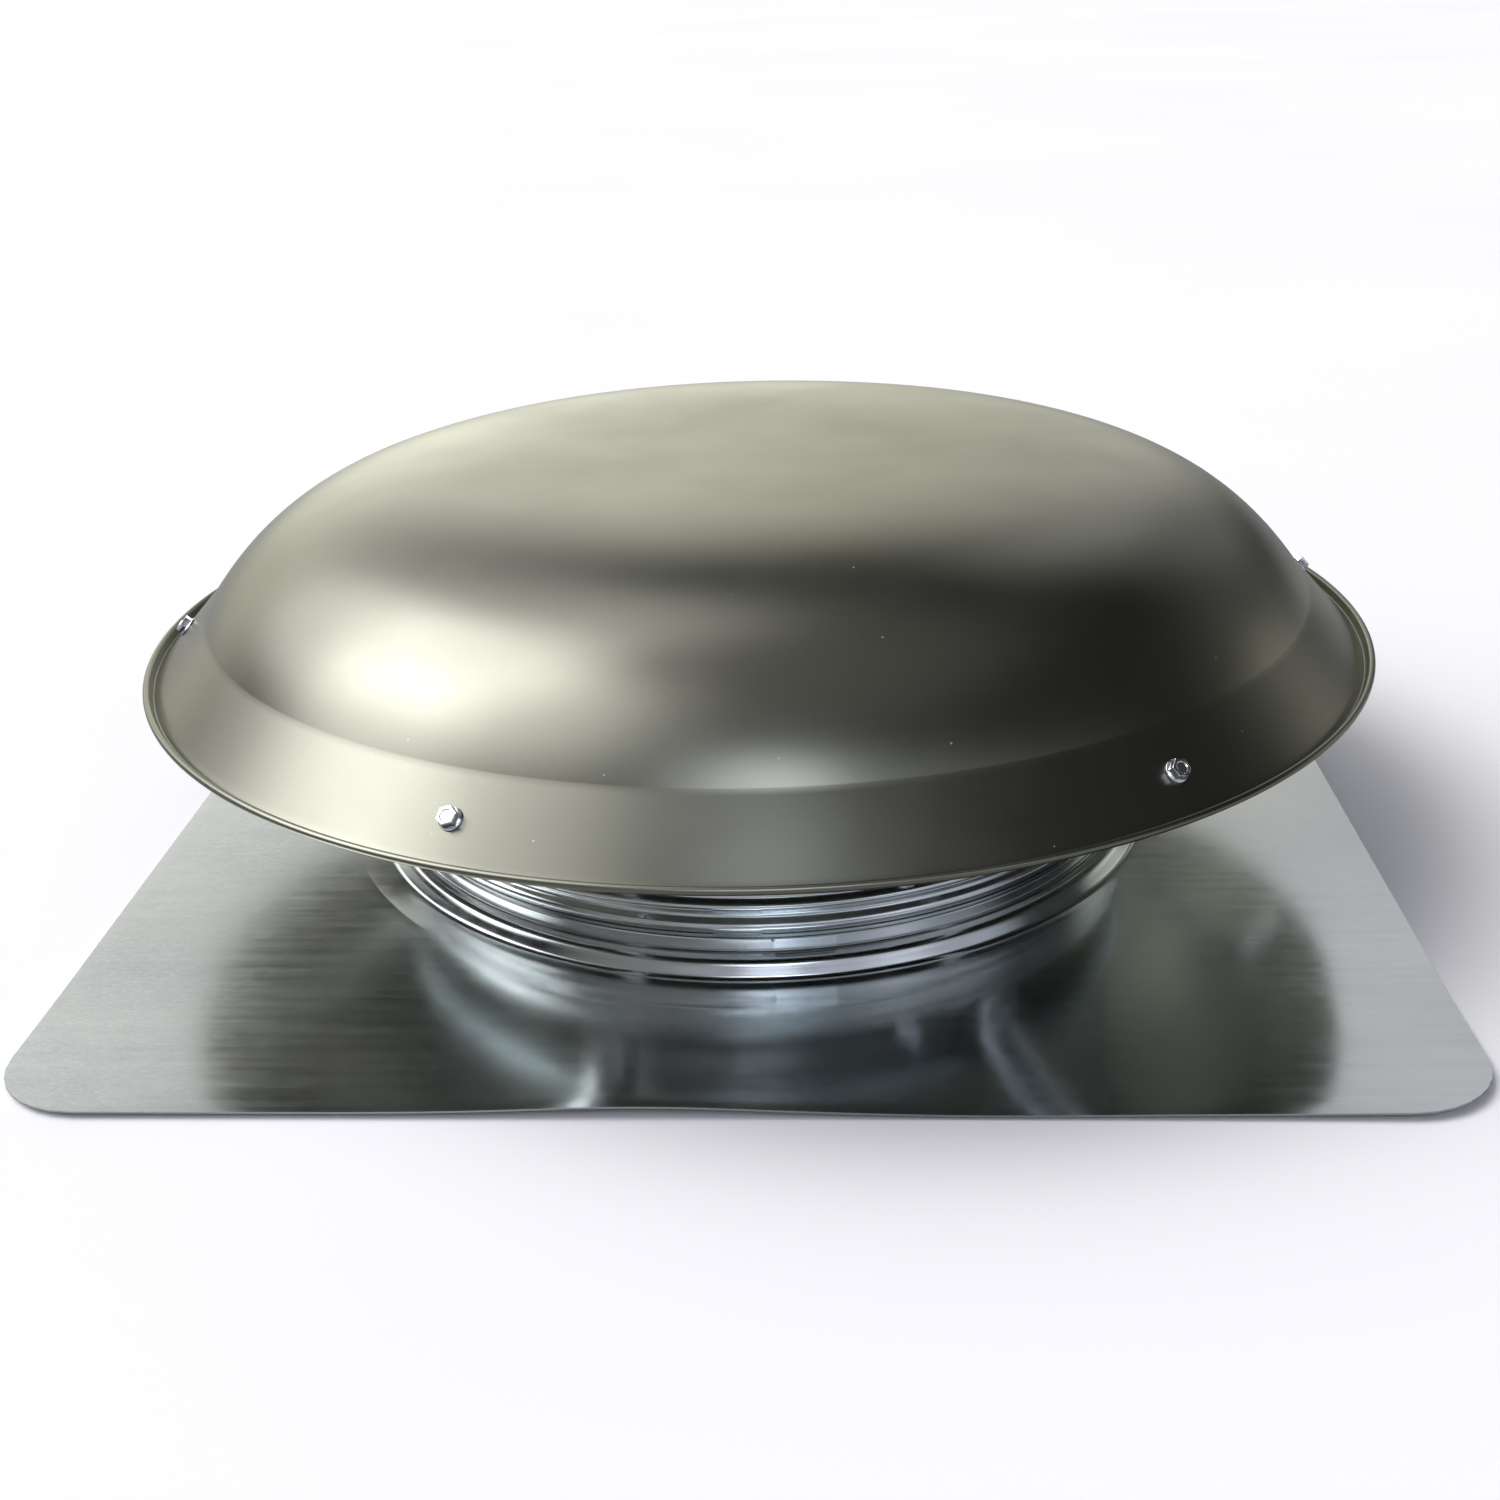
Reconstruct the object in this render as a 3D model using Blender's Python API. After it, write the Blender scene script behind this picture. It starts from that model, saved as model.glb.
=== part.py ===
"""Roof-mounted attic fan: spun hood on six brackets, beaded throat, square flashing, DC motor and fan.

Metres, +Z up. The origin is on the fan's axis, at the underside of the flashing.
"""

import math

import bmesh
import bpy
from mathutils import Matrix, Vector

# --- Driving dimensions -----------------------------------------------------------------------
GAP = 0.0003
SEGMENTS = 48
FACET = 2 * math.pi / SEGMENTS

FLASHING_SIDE = 0.610
FLASHING_CORNER = 0.040
FLASHING_THICK = 0.0008
FLASHING_HOLE = 0.208
FLASHING_UPSTAND = 0.190
FLASHING_UPSTAND_TOP = 0.0165

COLLAR_RADIUS = 0.1889
COLLAR_THICK = 0.0008
COLLAR_BOTTOM = 0.002
COLLAR_STRAIGHT_TOP = 0.064

CREASE_RADIUS = 0.275
CREASE_HEIGHT = 0.129
CROWN_RISE = 0.0616
CROWN_POWER = 6.2
HOOD_THICK = 0.0009
SKIRT_FOOT = (0.3020, 0.0996)
RIM_RADIUS = 0.3084
RIM_TOP = 0.1038
RIM_FOOT = 0.0984

FIRST_BRACKET = math.radians(8.2)
BRACKETS = 6
BRACKET_WIDTH = 0.022
BRACKET_THICK = 0.0015
BRACKET_FOOT = 0.0378
BRACKET_BEND = 0.057
RIVET_HEIGHT = 0.0475
RIVET_HOLE = 0.0019
SCREW_HOLE = 0.0025
SCREW_SHARE = 0.52
RADIAL_CUT = 0.006

SCREEN_RADIUS = 0.1876
SCREEN_THICK = 0.0008
SCREEN_BOTTOM = 0.062
SCREEN_TOP = 0.1823

ARMS = 4
FIRST_ARM = FIRST_BRACKET + 2 * FACET
ARM_BOTTOM = 0.050
ARM_TOP = 0.052
ARM_END = 0.1865
TAB_FACE = 0.1873
TAB_BOTTOM = 0.035
TAB_HALF_WIDTH = 0.010
ARM_SCREW_HEIGHT = 0.0436
SPIDER_DISC = 0.050
SPIDER_PILOT = 0.0165
SPIDER_ROOT_HALF = 0.013

MOTOR_RADIUS = 0.045
MOTOR_BORE = 0.0436
MOTOR_BOTTOM = 0.0584
MOTOR_CAN_BOTTOM = 0.0663
MOTOR_CAN_TOP = 0.114
MOTOR_TOP = 0.124
SHAFT_RADIUS = 0.004
SHAFT_BOTTOM = 0.013
SHAFT_TOP = 0.1165
CORE_BORE = 0.027
CORE_RADIUS = 0.0431
CORE_BOTTOM = 0.072
CORE_TOP = 0.100
ROTOR_RADIUS = 0.0255
ISOLATORS = 3
ISOLATOR_CIRCLE = 0.036
MOTOR_SCREW_HOLE = 0.0028

BLADES = 5
BLADE_ROOT = 0.046
BLADE_TIP = 0.172
BLADE_THICK = 0.0012
BLADE_CAMBER = 0.004
ROOT_PITCH = math.radians(28)
TIP_PITCH = math.radians(20)
FAN_HEIGHT = 0.028
HUB_RADIUS = 0.030
HUB_ARM_END = 0.086
HUB_ARM_HALF_WIDTH = 0.008
BOSS_RADIUS = 0.0125
BOSS_BOTTOM = 0.015
BOSS_TOP = 0.044
SET_SCREW_HEIGHT = 0.037

LEAD_RADIUS = 0.0025
LEAD_EXIT_HEIGHT = 0.108

ROUND_FINE = 10
ROUND_SMALL = 12
ROUND_MIDDLE = 20
ROUND_MOTOR = 24
SMOOTH_ANGLE = math.radians(35)


# --- Materials --------------------------------------------------------------------------------
def material(name, colour, roughness, metallic):
    made = bpy.data.materials.new(name)
    made.use_nodes = True
    shader = made.node_tree.nodes["Principled BSDF"]
    shader.inputs["Base Color"].default_value = (*colour, 1.0)
    shader.inputs["Roughness"].default_value = roughness
    shader.inputs["Metallic"].default_value = metallic
    return made


def make_materials():
    return {
        "hood": material("hood_paint", (0.19, 0.185, 0.15), 0.35, 0.7),
        "galvanised": material("galvanised_steel", (0.60, 0.63, 0.63), 0.28, 1.0),
        "zinc": material("zinc_plate", (0.78, 0.79, 0.82), 0.2, 1.0),
        "aluminium": material("blade_aluminium", (0.74, 0.75, 0.76), 0.35, 1.0),
        "motor": material("motor_enamel", (0.03, 0.03, 0.032), 0.45, 0.0),
        "steel": material("bright_steel", (0.62, 0.62, 0.63), 0.25, 1.0),
        "laminations": material("laminated_steel", (0.32, 0.33, 0.35), 0.5, 1.0),
        "copper": material("winding_copper", (0.72, 0.32, 0.14), 0.35, 1.0),
        "magnet": material("magnet_ferrite", (0.09, 0.09, 0.10), 0.6, 0.0),
        "board": material("circuit_board", (0.03, 0.20, 0.09), 0.5, 0.0),
        "rubber": material("isolator_rubber", (0.02, 0.02, 0.02), 0.8, 0.0),
        "plastic": material("black_plastic", (0.03, 0.03, 0.03), 0.5, 0.0),
    }


# --- Mesh helpers -----------------------------------------------------------------------------
def place(name, mesh, finish, matrix=None, parent=None):
    """An object for a finished mesh, smooth where it is round."""
    if not mesh.materials:
        mesh.materials.append(finish)
    mesh.shade_smooth()
    mesh.set_sharp_from_angle(angle=SMOOTH_ANGLE)
    made = bpy.data.objects.new(name, mesh)
    bpy.context.scene.collection.objects.link(made)
    made.parent = parent
    if matrix is not None:
        made.matrix_local = matrix
    return made


def mesh_of(bm, name):
    bmesh.ops.remove_doubles(bm, verts=bm.verts, dist=1e-6)
    bmesh.ops.recalc_face_normals(bm, faces=bm.faces)
    mesh = bpy.data.meshes.new(name)
    bm.to_mesh(mesh)
    bm.free()
    return mesh


def spin(bm, section, segments, phase, closed=True):
    """Turns (radius, height) points about Z and adds the surface to bm."""
    verts = [bm.verts.new((r, 0, z)) for r, z in section]
    edges = [bm.edges.new(pair) for pair in zip(verts, verts[1:])]
    if closed:
        edges.append(bm.edges.new((verts[-1], verts[0])))
    bmesh.ops.rotate(bm, verts=verts, cent=(0, 0, 0), matrix=Matrix.Rotation(phase, 3, "Z"))
    turn = {"axis": (0, 0, 1), "cent": (0, 0, 0), "angle": 2 * math.pi}
    bmesh.ops.spin(bm, geom=verts + edges, steps=segments, use_merge=True, **turn)


def turned(name, section, segments=SEGMENTS):
    """A turned mesh, whose section is a closed loop or runs from the axis to the axis."""
    bm = bmesh.new()
    phase = FIRST_BRACKET - math.pi / segments
    on_axis = section[0][0] == 0 and section[-1][0] == 0
    spin(bm, section, segments, phase, closed=not on_axis)
    return mesh_of(bm, name)


def tube_section(inner, outer, low, high):
    return [(inner, low), (outer, low), (outer, high), (inner, high)]


def offset_path(path, distance):
    """The path moved to its left by a distance, with mitred corners."""
    points = [Vector(p) for p in path]
    moved = []
    for i, point in enumerate(points):
        before = (point - points[i - 1]).normalized() if i else None
        after = (points[i + 1] - point).normalized() if i + 1 < len(points) else None
        before, after = before or after, after or before
        normal = Vector((-before.y - after.y, before.x + after.x)).normalized()
        stretch = normal.dot(Vector((-before.y, before.x)))
        moved.append(tuple(point + normal * distance / stretch))
    return moved


def sheet_section(path, thickness):
    """The closed outline of a sheet: the path, and the path moved to its left."""
    return list(path) + offset_path(path, thickness)[::-1]


def extruded(name, outline, low, high):
    """A mesh from a plan outline in X and Y, between two heights."""
    bm = bmesh.new()
    face = bm.faces.new([bm.verts.new((x, y, low)) for x, y in outline])
    raised = bmesh.ops.extrude_face_region(bm, geom=[face])
    top = [v for v in raised["geom"] if isinstance(v, bmesh.types.BMVert)]
    bmesh.ops.translate(bm, verts=top, vec=(0, 0, high - low))
    return mesh_of(bm, name)


def cylinder_mesh(name, radius, low, high, segments=ROUND_SMALL):
    bm = bmesh.new()
    bmesh.ops.create_cone(
        bm, cap_ends=True, segments=segments, radius1=radius, radius2=radius, depth=high - low,
        matrix=Matrix.Translation((0, 0, (low + high) / 2)),
    )
    return mesh_of(bm, name)


def joined(name, meshes):
    """Separate bodies in one mesh, for a cutter."""
    bm = bmesh.new()
    for mesh in meshes:
        bm.from_mesh(mesh)
    return mesh_of(bm, name)


def moved_copy(mesh, matrix):
    copy = mesh.copy()
    copy.transform(matrix)
    return copy


def boolean(mesh, other, operation):
    """The mesh cut by, or joined to, the other one."""
    objects = [bpy.data.objects.new("shape", mesh), bpy.data.objects.new("tool", other)]
    for made in objects:
        bpy.context.scene.collection.objects.link(made)
    modifier = objects[0].modifiers.new("boolean", "BOOLEAN")
    modifier.operation = operation
    modifier.object = objects[1]
    graph = bpy.context.evaluated_depsgraph_get()
    result = bpy.data.meshes.new_from_object(objects[0].evaluated_get(graph))
    result.name = mesh.name
    for made in objects:
        bpy.data.objects.remove(made)
    return result


def cut(mesh, cutter):
    return boolean(mesh, cutter, "DIFFERENCE")


def union(mesh, other):
    return boolean(mesh, other, "UNION")


def about_z(angle):
    return Matrix.Rotation(angle, 4, "Z")


def radial_frame(angle, radius, height, tilt=math.pi / 2):
    """A frame at a radius and height whose Z axis leans outwards from +Z by the tilt."""
    return about_z(angle) @ Matrix.Translation((radius, 0, height)) @ Matrix.Rotation(tilt, 4, "Y")


def angles(count, first):
    return [first + k * 2 * math.pi / count for k in range(count)]


def radial_copies(mesh, count, first, radius, height):
    """Copies round the axis whose Z points outwards, for cutters."""
    return [moved_copy(mesh, radial_frame(a, radius, height)) for a in angles(count, first)]


def smooth_points(route, step):
    """Points along a Catmull-Rom curve through the route, about a step apart."""
    route = [Vector(p) for p in route]
    ends = [2 * route[0] - route[1], *route, 2 * route[-1] - route[-2]]
    points = []
    for a, b, c, d in zip(ends, ends[1:], ends[2:], ends[3:]):
        count = max(1, round((c - b).length / step))
        for k in range(count):
            t = k / count
            linear = (c - a) * t + (2 * a - 5 * b + 4 * c - d) * t * t
            points.append(b + (linear + (3 * b - a - 3 * c + d) * t ** 3) / 2)
    return points + [route[-1]]


# --- Hood -------------------------------------------------------------------------------------
def crown_height(radius):
    return CREASE_HEIGHT + CROWN_RISE * (1 - (radius / CREASE_RADIUS) ** CROWN_POWER)


def skirt_point(share):
    """(radius, height) on the skirt's outer face, from the crease at 0 to its foot at 1."""
    return (
        CREASE_RADIUS + share * (SKIRT_FOOT[0] - CREASE_RADIUS),
        CREASE_HEIGHT + share * (SKIRT_FOOT[1] - CREASE_HEIGHT),
    )


def skirt_slope():
    return math.atan2(CREASE_HEIGHT - SKIRT_FOOT[1], SKIRT_FOOT[0] - CREASE_RADIUS)


def hood_screw_frame(angle, lift):
    """On the middle of the skirt's facet, with Z square to it, lifted off its outer face."""
    radius, height = skirt_point(SCREW_SHARE)
    flat_radius = radius * math.cos(FACET / 2)
    frame = radial_frame(angle, flat_radius, height, skirt_slope())
    return frame @ Matrix.Translation((0, 0, lift))


def make_hood(finish):
    shares = (0.0, 0.42, 0.64, 0.79, 0.89, 0.955)
    outer = [(s * CREASE_RADIUS, crown_height(s * CREASE_RADIUS)) for s in shares]
    outer += [(CREASE_RADIUS, CREASE_HEIGHT), SKIRT_FOOT]
    inner = offset_path(outer, -HOOD_THICK)
    inner[0] = (0.0, inner[0][1])
    gutter = [(0.3040, 0.0998), (0.3054, 0.1030)]
    bead = [(0.3066, RIM_TOP), (RIM_RADIUS, 0.1022), (RIM_RADIUS, 0.0994)]
    foot = [(0.3070, RIM_FOOT), (0.3035, 0.0985)]
    mesh = turned("hood", outer + gutter + bead + foot + inner[::-1])
    hole = cylinder_mesh("hole", SCREW_HOLE, -0.01, 0.01)
    holes = [moved_copy(hole, hood_screw_frame(a, 0)) for a in angles(BRACKETS, FIRST_BRACKET)]
    place("hood", cut(mesh, joined("holes", holes)), finish)


def hex_screw_mesh(name, shank):
    """A hex washer head above Z = 0, and its shank below."""
    flange = [(0, 0.0022), (0.0040, 0.0022), (0.0053, 0.0009), (0.0053, 0), (0.0021, 0)]
    stem = [(0.0021, -shank + 0.002), (0, -shank)]
    body = turned(name, flange + stem, ROUND_SMALL)
    head = cylinder_mesh("hex", 0.00455, 0.0005, 0.0050, segments=6)
    return union(body, head)


def make_hood_screws(finish):
    mesh = hex_screw_mesh("hood_screw", 0.013)
    for k, angle in enumerate(angles(BRACKETS, FIRST_BRACKET)):
        place(f"hood_screw_{k + 1}", mesh, finish, hood_screw_frame(angle, GAP))


# --- Flashing and throat ----------------------------------------------------------------------
def rounded_square(side, corner, steps=5):
    half = side / 2 - corner
    outline = []
    for k, (sx, sy) in enumerate(((1, 1), (-1, 1), (-1, -1), (1, -1))):
        for step in range(steps + 1):
            a = math.pi / 2 * (k + step / steps)
            outline.append((sx * half + corner * math.cos(a), sy * half + corner * math.sin(a)))
    return outline


def add_plate(bm, outline, circle, height):
    """A flat face at a height, from the outline to the circle inside it."""
    edges = []
    loops = []
    for ring in (outline, circle):
        verts = [bm.verts.new((x, y, height)) for x, y in ring]
        loops.append(verts)
        edges += [bm.edges.new((v, verts[i - 1])) for i, v in enumerate(verts)]
    bmesh.ops.triangle_fill(bm, edges=edges, use_beauty=True)
    return loops[0]


def make_flashing(finish):
    phase = FIRST_BRACKET - FACET / 2
    circle = [
        (FLASHING_HOLE * math.cos(phase + k * FACET), FLASHING_HOLE * math.sin(phase + k * FACET))
        for k in range(SEGMENTS)
    ]
    outline = rounded_square(FLASHING_SIDE, FLASHING_CORNER)
    bm = bmesh.new()
    low = add_plate(bm, outline, circle, 0)
    high = add_plate(bm, outline, circle, FLASHING_THICK)
    for i in range(len(outline)):
        bm.faces.new((low[i - 1], low[i], high[i], high[i - 1]))
    drawn = [(FLASHING_HOLE, FLASHING_THICK), (0.2046, FLASHING_THICK), (0.2012, 0.0042), (0.1992, 0.0080)]
    drawn += [(0.1950, 0.0096), (0.1908, 0.0102), (FLASHING_UPSTAND, 0.0128)]
    drawn += [(FLASHING_UPSTAND, FLASHING_UPSTAND_TOP)]
    spin(bm, sheet_section(drawn, FLASHING_THICK), SEGMENTS, phase, closed=False)
    place("flashing", mesh_of(bm, "flashing"), finish)


def make_collar(finish):
    beads = [(COLLAR_RADIUS, 0.0180), (0.1918, 0.0230), (COLLAR_RADIUS, 0.0275)]
    beads += [(COLLAR_RADIUS, 0.0288), (0.1918, 0.0326), (COLLAR_RADIUS, 0.0368)]
    curl = [(COLLAR_RADIUS, COLLAR_STRAIGHT_TOP), (0.1904, 0.0680), (0.1930, 0.0680)]
    path = [(COLLAR_RADIUS, COLLAR_BOTTOM), *beads, *curl]
    mesh = turned("throat_collar", sheet_section(path, COLLAR_THICK))
    rivet_hole = cylinder_mesh("hole", RIVET_HOLE, -RADIAL_CUT, RADIAL_CUT, ROUND_FINE)
    screw_hole = cylinder_mesh("hole", SCREW_HOLE, -RADIAL_CUT, RADIAL_CUT, ROUND_FINE)
    holes = radial_copies(rivet_hole, BRACKETS, FIRST_BRACKET, COLLAR_RADIUS, RIVET_HEIGHT)
    holes += radial_copies(screw_hole, ARMS, FIRST_ARM, COLLAR_RADIUS, ARM_SCREW_HEIGHT)
    place("throat_collar", cut(mesh, joined("holes", holes)), finish)


def make_screen(finish):
    section = tube_section(SCREEN_RADIUS - SCREEN_THICK, SCREEN_RADIUS, SCREEN_BOTTOM, SCREEN_TOP)
    place("bird_screen", turned("bird_screen", section), finish)


# --- Hood brackets ----------------------------------------------------------------------------
def hood_bracket_mesh():
    """A strap up the collar's wall, out to the skirt and down behind it."""
    wall = COLLAR_RADIUS + GAP + 0.00005
    below_skirt = HOOD_THICK + GAP + 0.0001
    slope = skirt_slope()
    inward = Vector((-math.sin(slope), -math.cos(slope))) * below_skirt
    start = Vector(skirt_point(0.12)) + inward
    end = Vector(skirt_point(0.86)) + inward
    upper_face = [(wall, BRACKET_FOOT), (wall, BRACKET_BEND), tuple(start), tuple(end)]
    lower_face = offset_path(upper_face, -BRACKET_THICK)
    outline = [(start.x * math.cos(FACET / 2) if p == tuple(start) else p[0], p[1]) for p in upper_face]
    outline[3] = (end.x * math.cos(FACET / 2), end.y)
    outline += lower_face[::-1]
    mesh = extruded("hood_bracket", outline, -BRACKET_WIDTH / 2, BRACKET_WIDTH / 2)
    mesh.transform(Matrix.Rotation(math.pi / 2, 4, "X"))
    screw_hole = cylinder_mesh("hole", SCREW_HOLE, -2 * RADIAL_CUT, 0.004, ROUND_FINE)
    screw_hole.transform(hood_screw_frame(0, 0))
    rivet_hole = cylinder_mesh("hole", RIVET_HOLE, -RADIAL_CUT, RADIAL_CUT, ROUND_FINE)
    rivet_hole.transform(radial_frame(0, wall, RIVET_HEIGHT))
    return cut(mesh, joined("holes", [screw_hole, rivet_hole]))


def rivet_mesh():
    head = [(0, 0.0013), (0.0022, 0.0009), (0.0032, 0)]
    stem = [(0.0016, 0), (0.0016, -0.0045), (0, -0.0045)]
    return turned("bracket_rivet", head + stem, ROUND_FINE)


def make_brackets(bracket_finish, rivet_finish):
    bracket = hood_bracket_mesh()
    rivet = rivet_mesh()
    head_seat = COLLAR_RADIUS + BRACKET_THICK + 2 * GAP + 0.0001
    for k, angle in enumerate(angles(BRACKETS, FIRST_BRACKET)):
        place(f"hood_bracket_{k + 1}", bracket, bracket_finish, about_z(angle))
        place(f"bracket_rivet_{k + 1}", rivet, rivet_finish, radial_frame(angle, head_seat, RIVET_HEIGHT))


# --- Motor bracket ----------------------------------------------------------------------------
def motor_bracket_outline():
    spread = math.asin(SPIDER_ROOT_HALF / SPIDER_DISC)
    outline = []
    for angle in angles(ARMS, FIRST_ARM):
        turn = Matrix.Rotation(angle, 2)
        ends = [Vector((ARM_END, -TAB_HALF_WIDTH)), Vector((ARM_END, TAB_HALF_WIDTH))]
        outline.append(tuple(SPIDER_DISC * Vector((math.cos(angle - spread), math.sin(angle - spread)))))
        outline += [tuple(turn @ end) for end in ends]
        arc = math.pi / 2 - 2 * spread
        for step in range(5):
            a = angle + spread + arc * step / 5
            outline.append(tuple(SPIDER_DISC * Vector((math.cos(a), math.sin(a)))))
    return outline


def make_motor_bracket(bracket_finish, screw_finish):
    mesh = extruded("motor_bracket", motor_bracket_outline(), ARM_BOTTOM, ARM_TOP)
    tab_back = TAB_FACE - (ARM_TOP - ARM_BOTTOM)
    tab_half = TAB_HALF_WIDTH - 0.0002
    tab_outline = [(tab_back, -tab_half), (TAB_FACE, -tab_half), (TAB_FACE, tab_half), (tab_back, tab_half)]
    tab = extruded("tab", tab_outline, TAB_BOTTOM, ARM_TOP - 0.0008)
    tabs = [moved_copy(tab, about_z(a)) for a in angles(ARMS, FIRST_ARM)]
    mesh = union(mesh, joined("tabs", tabs))
    through = (ARM_BOTTOM - 0.01, ARM_TOP + 0.01)
    holes = [cylinder_mesh("hole", SPIDER_PILOT, *through, ROUND_MIDDLE)]
    motor_hole = cylinder_mesh("hole", MOTOR_SCREW_HOLE, *through, ROUND_FINE)
    holes += [
        moved_copy(motor_hole, about_z(a) @ Matrix.Translation((ISOLATOR_CIRCLE, 0, 0)))
        for a in angles(ISOLATORS, FIRST_ARM)
    ]
    screw_hole = cylinder_mesh("hole", SCREW_HOLE, -RADIAL_CUT, RADIAL_CUT, ROUND_FINE)
    holes += radial_copies(screw_hole, ARMS, FIRST_ARM, TAB_FACE, ARM_SCREW_HEIGHT)
    place("motor_bracket", cut(mesh, joined("holes", holes)), bracket_finish)
    screw = hex_screw_mesh("arm_screw", 0.008)
    for k, angle in enumerate(angles(ARMS, FIRST_ARM)):
        frame = radial_frame(angle, COLLAR_RADIUS + GAP, ARM_SCREW_HEIGHT)
        place(f"arm_screw_{k + 1}", screw, screw_finish, frame)


def make_motor_fixings(rubber_finish, screw_finish):
    bush_wall = tube_section(MOTOR_SCREW_HOLE, 0.008, ARM_TOP + GAP, MOTOR_BOTTOM - GAP)
    bush = turned("isolator", bush_wall, ROUND_SMALL)
    head_top = ARM_BOTTOM - GAP
    head = [(0, head_top - 0.0025), (0.0037, head_top - 0.0025), (0.0045, head_top)]
    stem = [(0.0025, head_top), (0.0025, 0.0605), (0, 0.0605)]
    screw = turned("motor_screw", head + stem, ROUND_FINE)
    for k, angle in enumerate(angles(ISOLATORS, FIRST_ARM)):
        frame = about_z(angle) @ Matrix.Translation((ISOLATOR_CIRCLE, 0, 0))
        place(f"motor_isolator_{k + 1}", bush, rubber_finish, frame)
        place(f"motor_screw_{k + 1}", screw, screw_finish, frame)


# --- Motor ------------------------------------------------------------------------------------
BEARING_SEAT = 0.0112
BEARING_OUTER = (0.0086, 0.0109)
BEARING_INNER = (0.0043, 0.0064)
LOWER_BEARING = (0.0483, 0.0550)
UPPER_BEARING = (0.1100, 0.1167)


def motor_part(name, section, finish, parent=None, segments=ROUND_MOTOR):
    return place(name, turned(name, section, segments), finish, parent=parent)


def make_motor_case(finishes):
    lower = [(BEARING_SEAT, 0.048), (0.015, 0.048), (0.015, MOTOR_BOTTOM), (0.0438, MOTOR_BOTTOM)]
    lower += [(MOTOR_RADIUS, 0.0596), (MOTOR_RADIUS, 0.066), (MOTOR_BORE, 0.066), (MOTOR_BORE, 0.0624)]
    lower += [(0.007, 0.0624), (0.007, 0.0553), (BEARING_SEAT, 0.0553)]
    mesh = turned("motor_lower_bell", lower, ROUND_MOTOR)
    hole = cylinder_mesh("hole", MOTOR_SCREW_HOLE, ARM_BOTTOM, 0.0612, ROUND_FINE)
    holes = [
        moved_copy(hole, about_z(a) @ Matrix.Translation((ISOLATOR_CIRCLE, 0, 0)))
        for a in angles(ISOLATORS, FIRST_ARM)
    ]
    place("motor_lower_bell", cut(mesh, joined("holes", holes)), finishes["aluminium"])

    can_section = tube_section(MOTOR_BORE, MOTOR_RADIUS, MOTOR_CAN_BOTTOM, MOTOR_CAN_TOP)
    can = turned("motor_can", can_section, ROUND_MOTOR)
    exit_hole = cylinder_mesh("hole", 0.0043, -0.006, 0.006)
    exit_hole.transform(radial_frame(FIRST_ARM, MOTOR_RADIUS, LEAD_EXIT_HEIGHT))
    place("motor_can", cut(can, exit_hole), finishes["motor"])

    upper = [(0, MOTOR_TOP), (0.032, MOTOR_TOP), (0.042, 0.1222), (MOTOR_RADIUS, 0.1190)]
    upper += [(MOTOR_RADIUS, MOTOR_CAN_TOP + GAP), (MOTOR_BORE, MOTOR_CAN_TOP + GAP), (MOTOR_BORE, 0.1180)]
    upper += [(0.014, 0.1190), (0.014, 0.1095), (BEARING_SEAT, 0.1095), (BEARING_SEAT, 0.1170), (0, 0.1170)]
    motor_part("motor_upper_bell", upper, finishes["aluminium"])


def make_motor_inside(finishes):
    core = tube_section(CORE_BORE, CORE_RADIUS, CORE_BOTTOM, CORE_TOP)
    motor_part("stator_core", core, finishes["laminations"])
    lower_coil = tube_section(0.0290, 0.0405, 0.0660, CORE_BOTTOM - GAP)
    motor_part("stator_winding_lower", lower_coil, finishes["copper"])
    upper_coil = tube_section(0.0290, 0.0370, CORE_TOP + GAP, 0.1060)
    motor_part("stator_winding_upper", upper_coil, finishes["copper"])
    motor_part("driver_board", tube_section(0.016, 0.0375, 0.1115, 0.1131), finishes["board"])
    for name, level in (("lower", LOWER_BEARING), ("upper", UPPER_BEARING)):
        race = tube_section(*BEARING_OUTER, *level)
        motor_part(f"{name}_bearing_outer", race, finishes["steel"], segments=ROUND_MIDDLE)


# --- Fan --------------------------------------------------------------------------------------
def blade_pitch(radius):
    share = (radius - BLADE_ROOT) / (BLADE_TIP - BLADE_ROOT)
    return ROOT_PITCH + (TIP_PITCH - ROOT_PITCH) * max(0.0, share)


def blade_half_chord(radius):
    share = (radius - BLADE_ROOT) / (BLADE_TIP - BLADE_ROOT)
    return 0.024 + 0.022 * math.sin(math.pi / 2 * min(1.0, 1.5 * share)) - 0.010 * share ** 6


def blade_point(radius, across, offset):
    """On the blade at a radius; across runs -1 to 1 over the chord; offset is along the normal."""
    pitch = blade_pitch(radius)
    along = across * blade_half_chord(radius)
    rise = BLADE_CAMBER * (1 - across * across) + offset
    y = along * math.cos(pitch) - rise * math.sin(pitch)
    z = along * math.sin(pitch) + rise * math.cos(pitch)
    return (math.sqrt(radius * radius - y * y), y, FAN_HEIGHT + z)


def plate_from_points(name, point, stations, lanes, thickness):
    """A curved plate: point(station, lane, offset) gives its two faces."""
    bm = bmesh.new()
    faces = []
    for offset in (-thickness / 2, thickness / 2):
        faces.append([[bm.verts.new(point(s, v, offset)) for v in lanes] for s in stations])
    for grid in faces:
        for one, two in zip(grid, grid[1:]):
            for k in range(len(lanes) - 1):
                bm.faces.new((one[k], one[k + 1], two[k + 1], two[k]))
    low, high = [
        grid[0] + [row[-1] for row in grid[1:]] + grid[-1][-2::-1] + [row[0] for row in grid[-2:0:-1]]
        for grid in faces
    ]
    for i in range(len(low)):
        bm.faces.new((low[i - 1], low[i], high[i], high[i - 1]))
    return mesh_of(bm, name)


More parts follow.
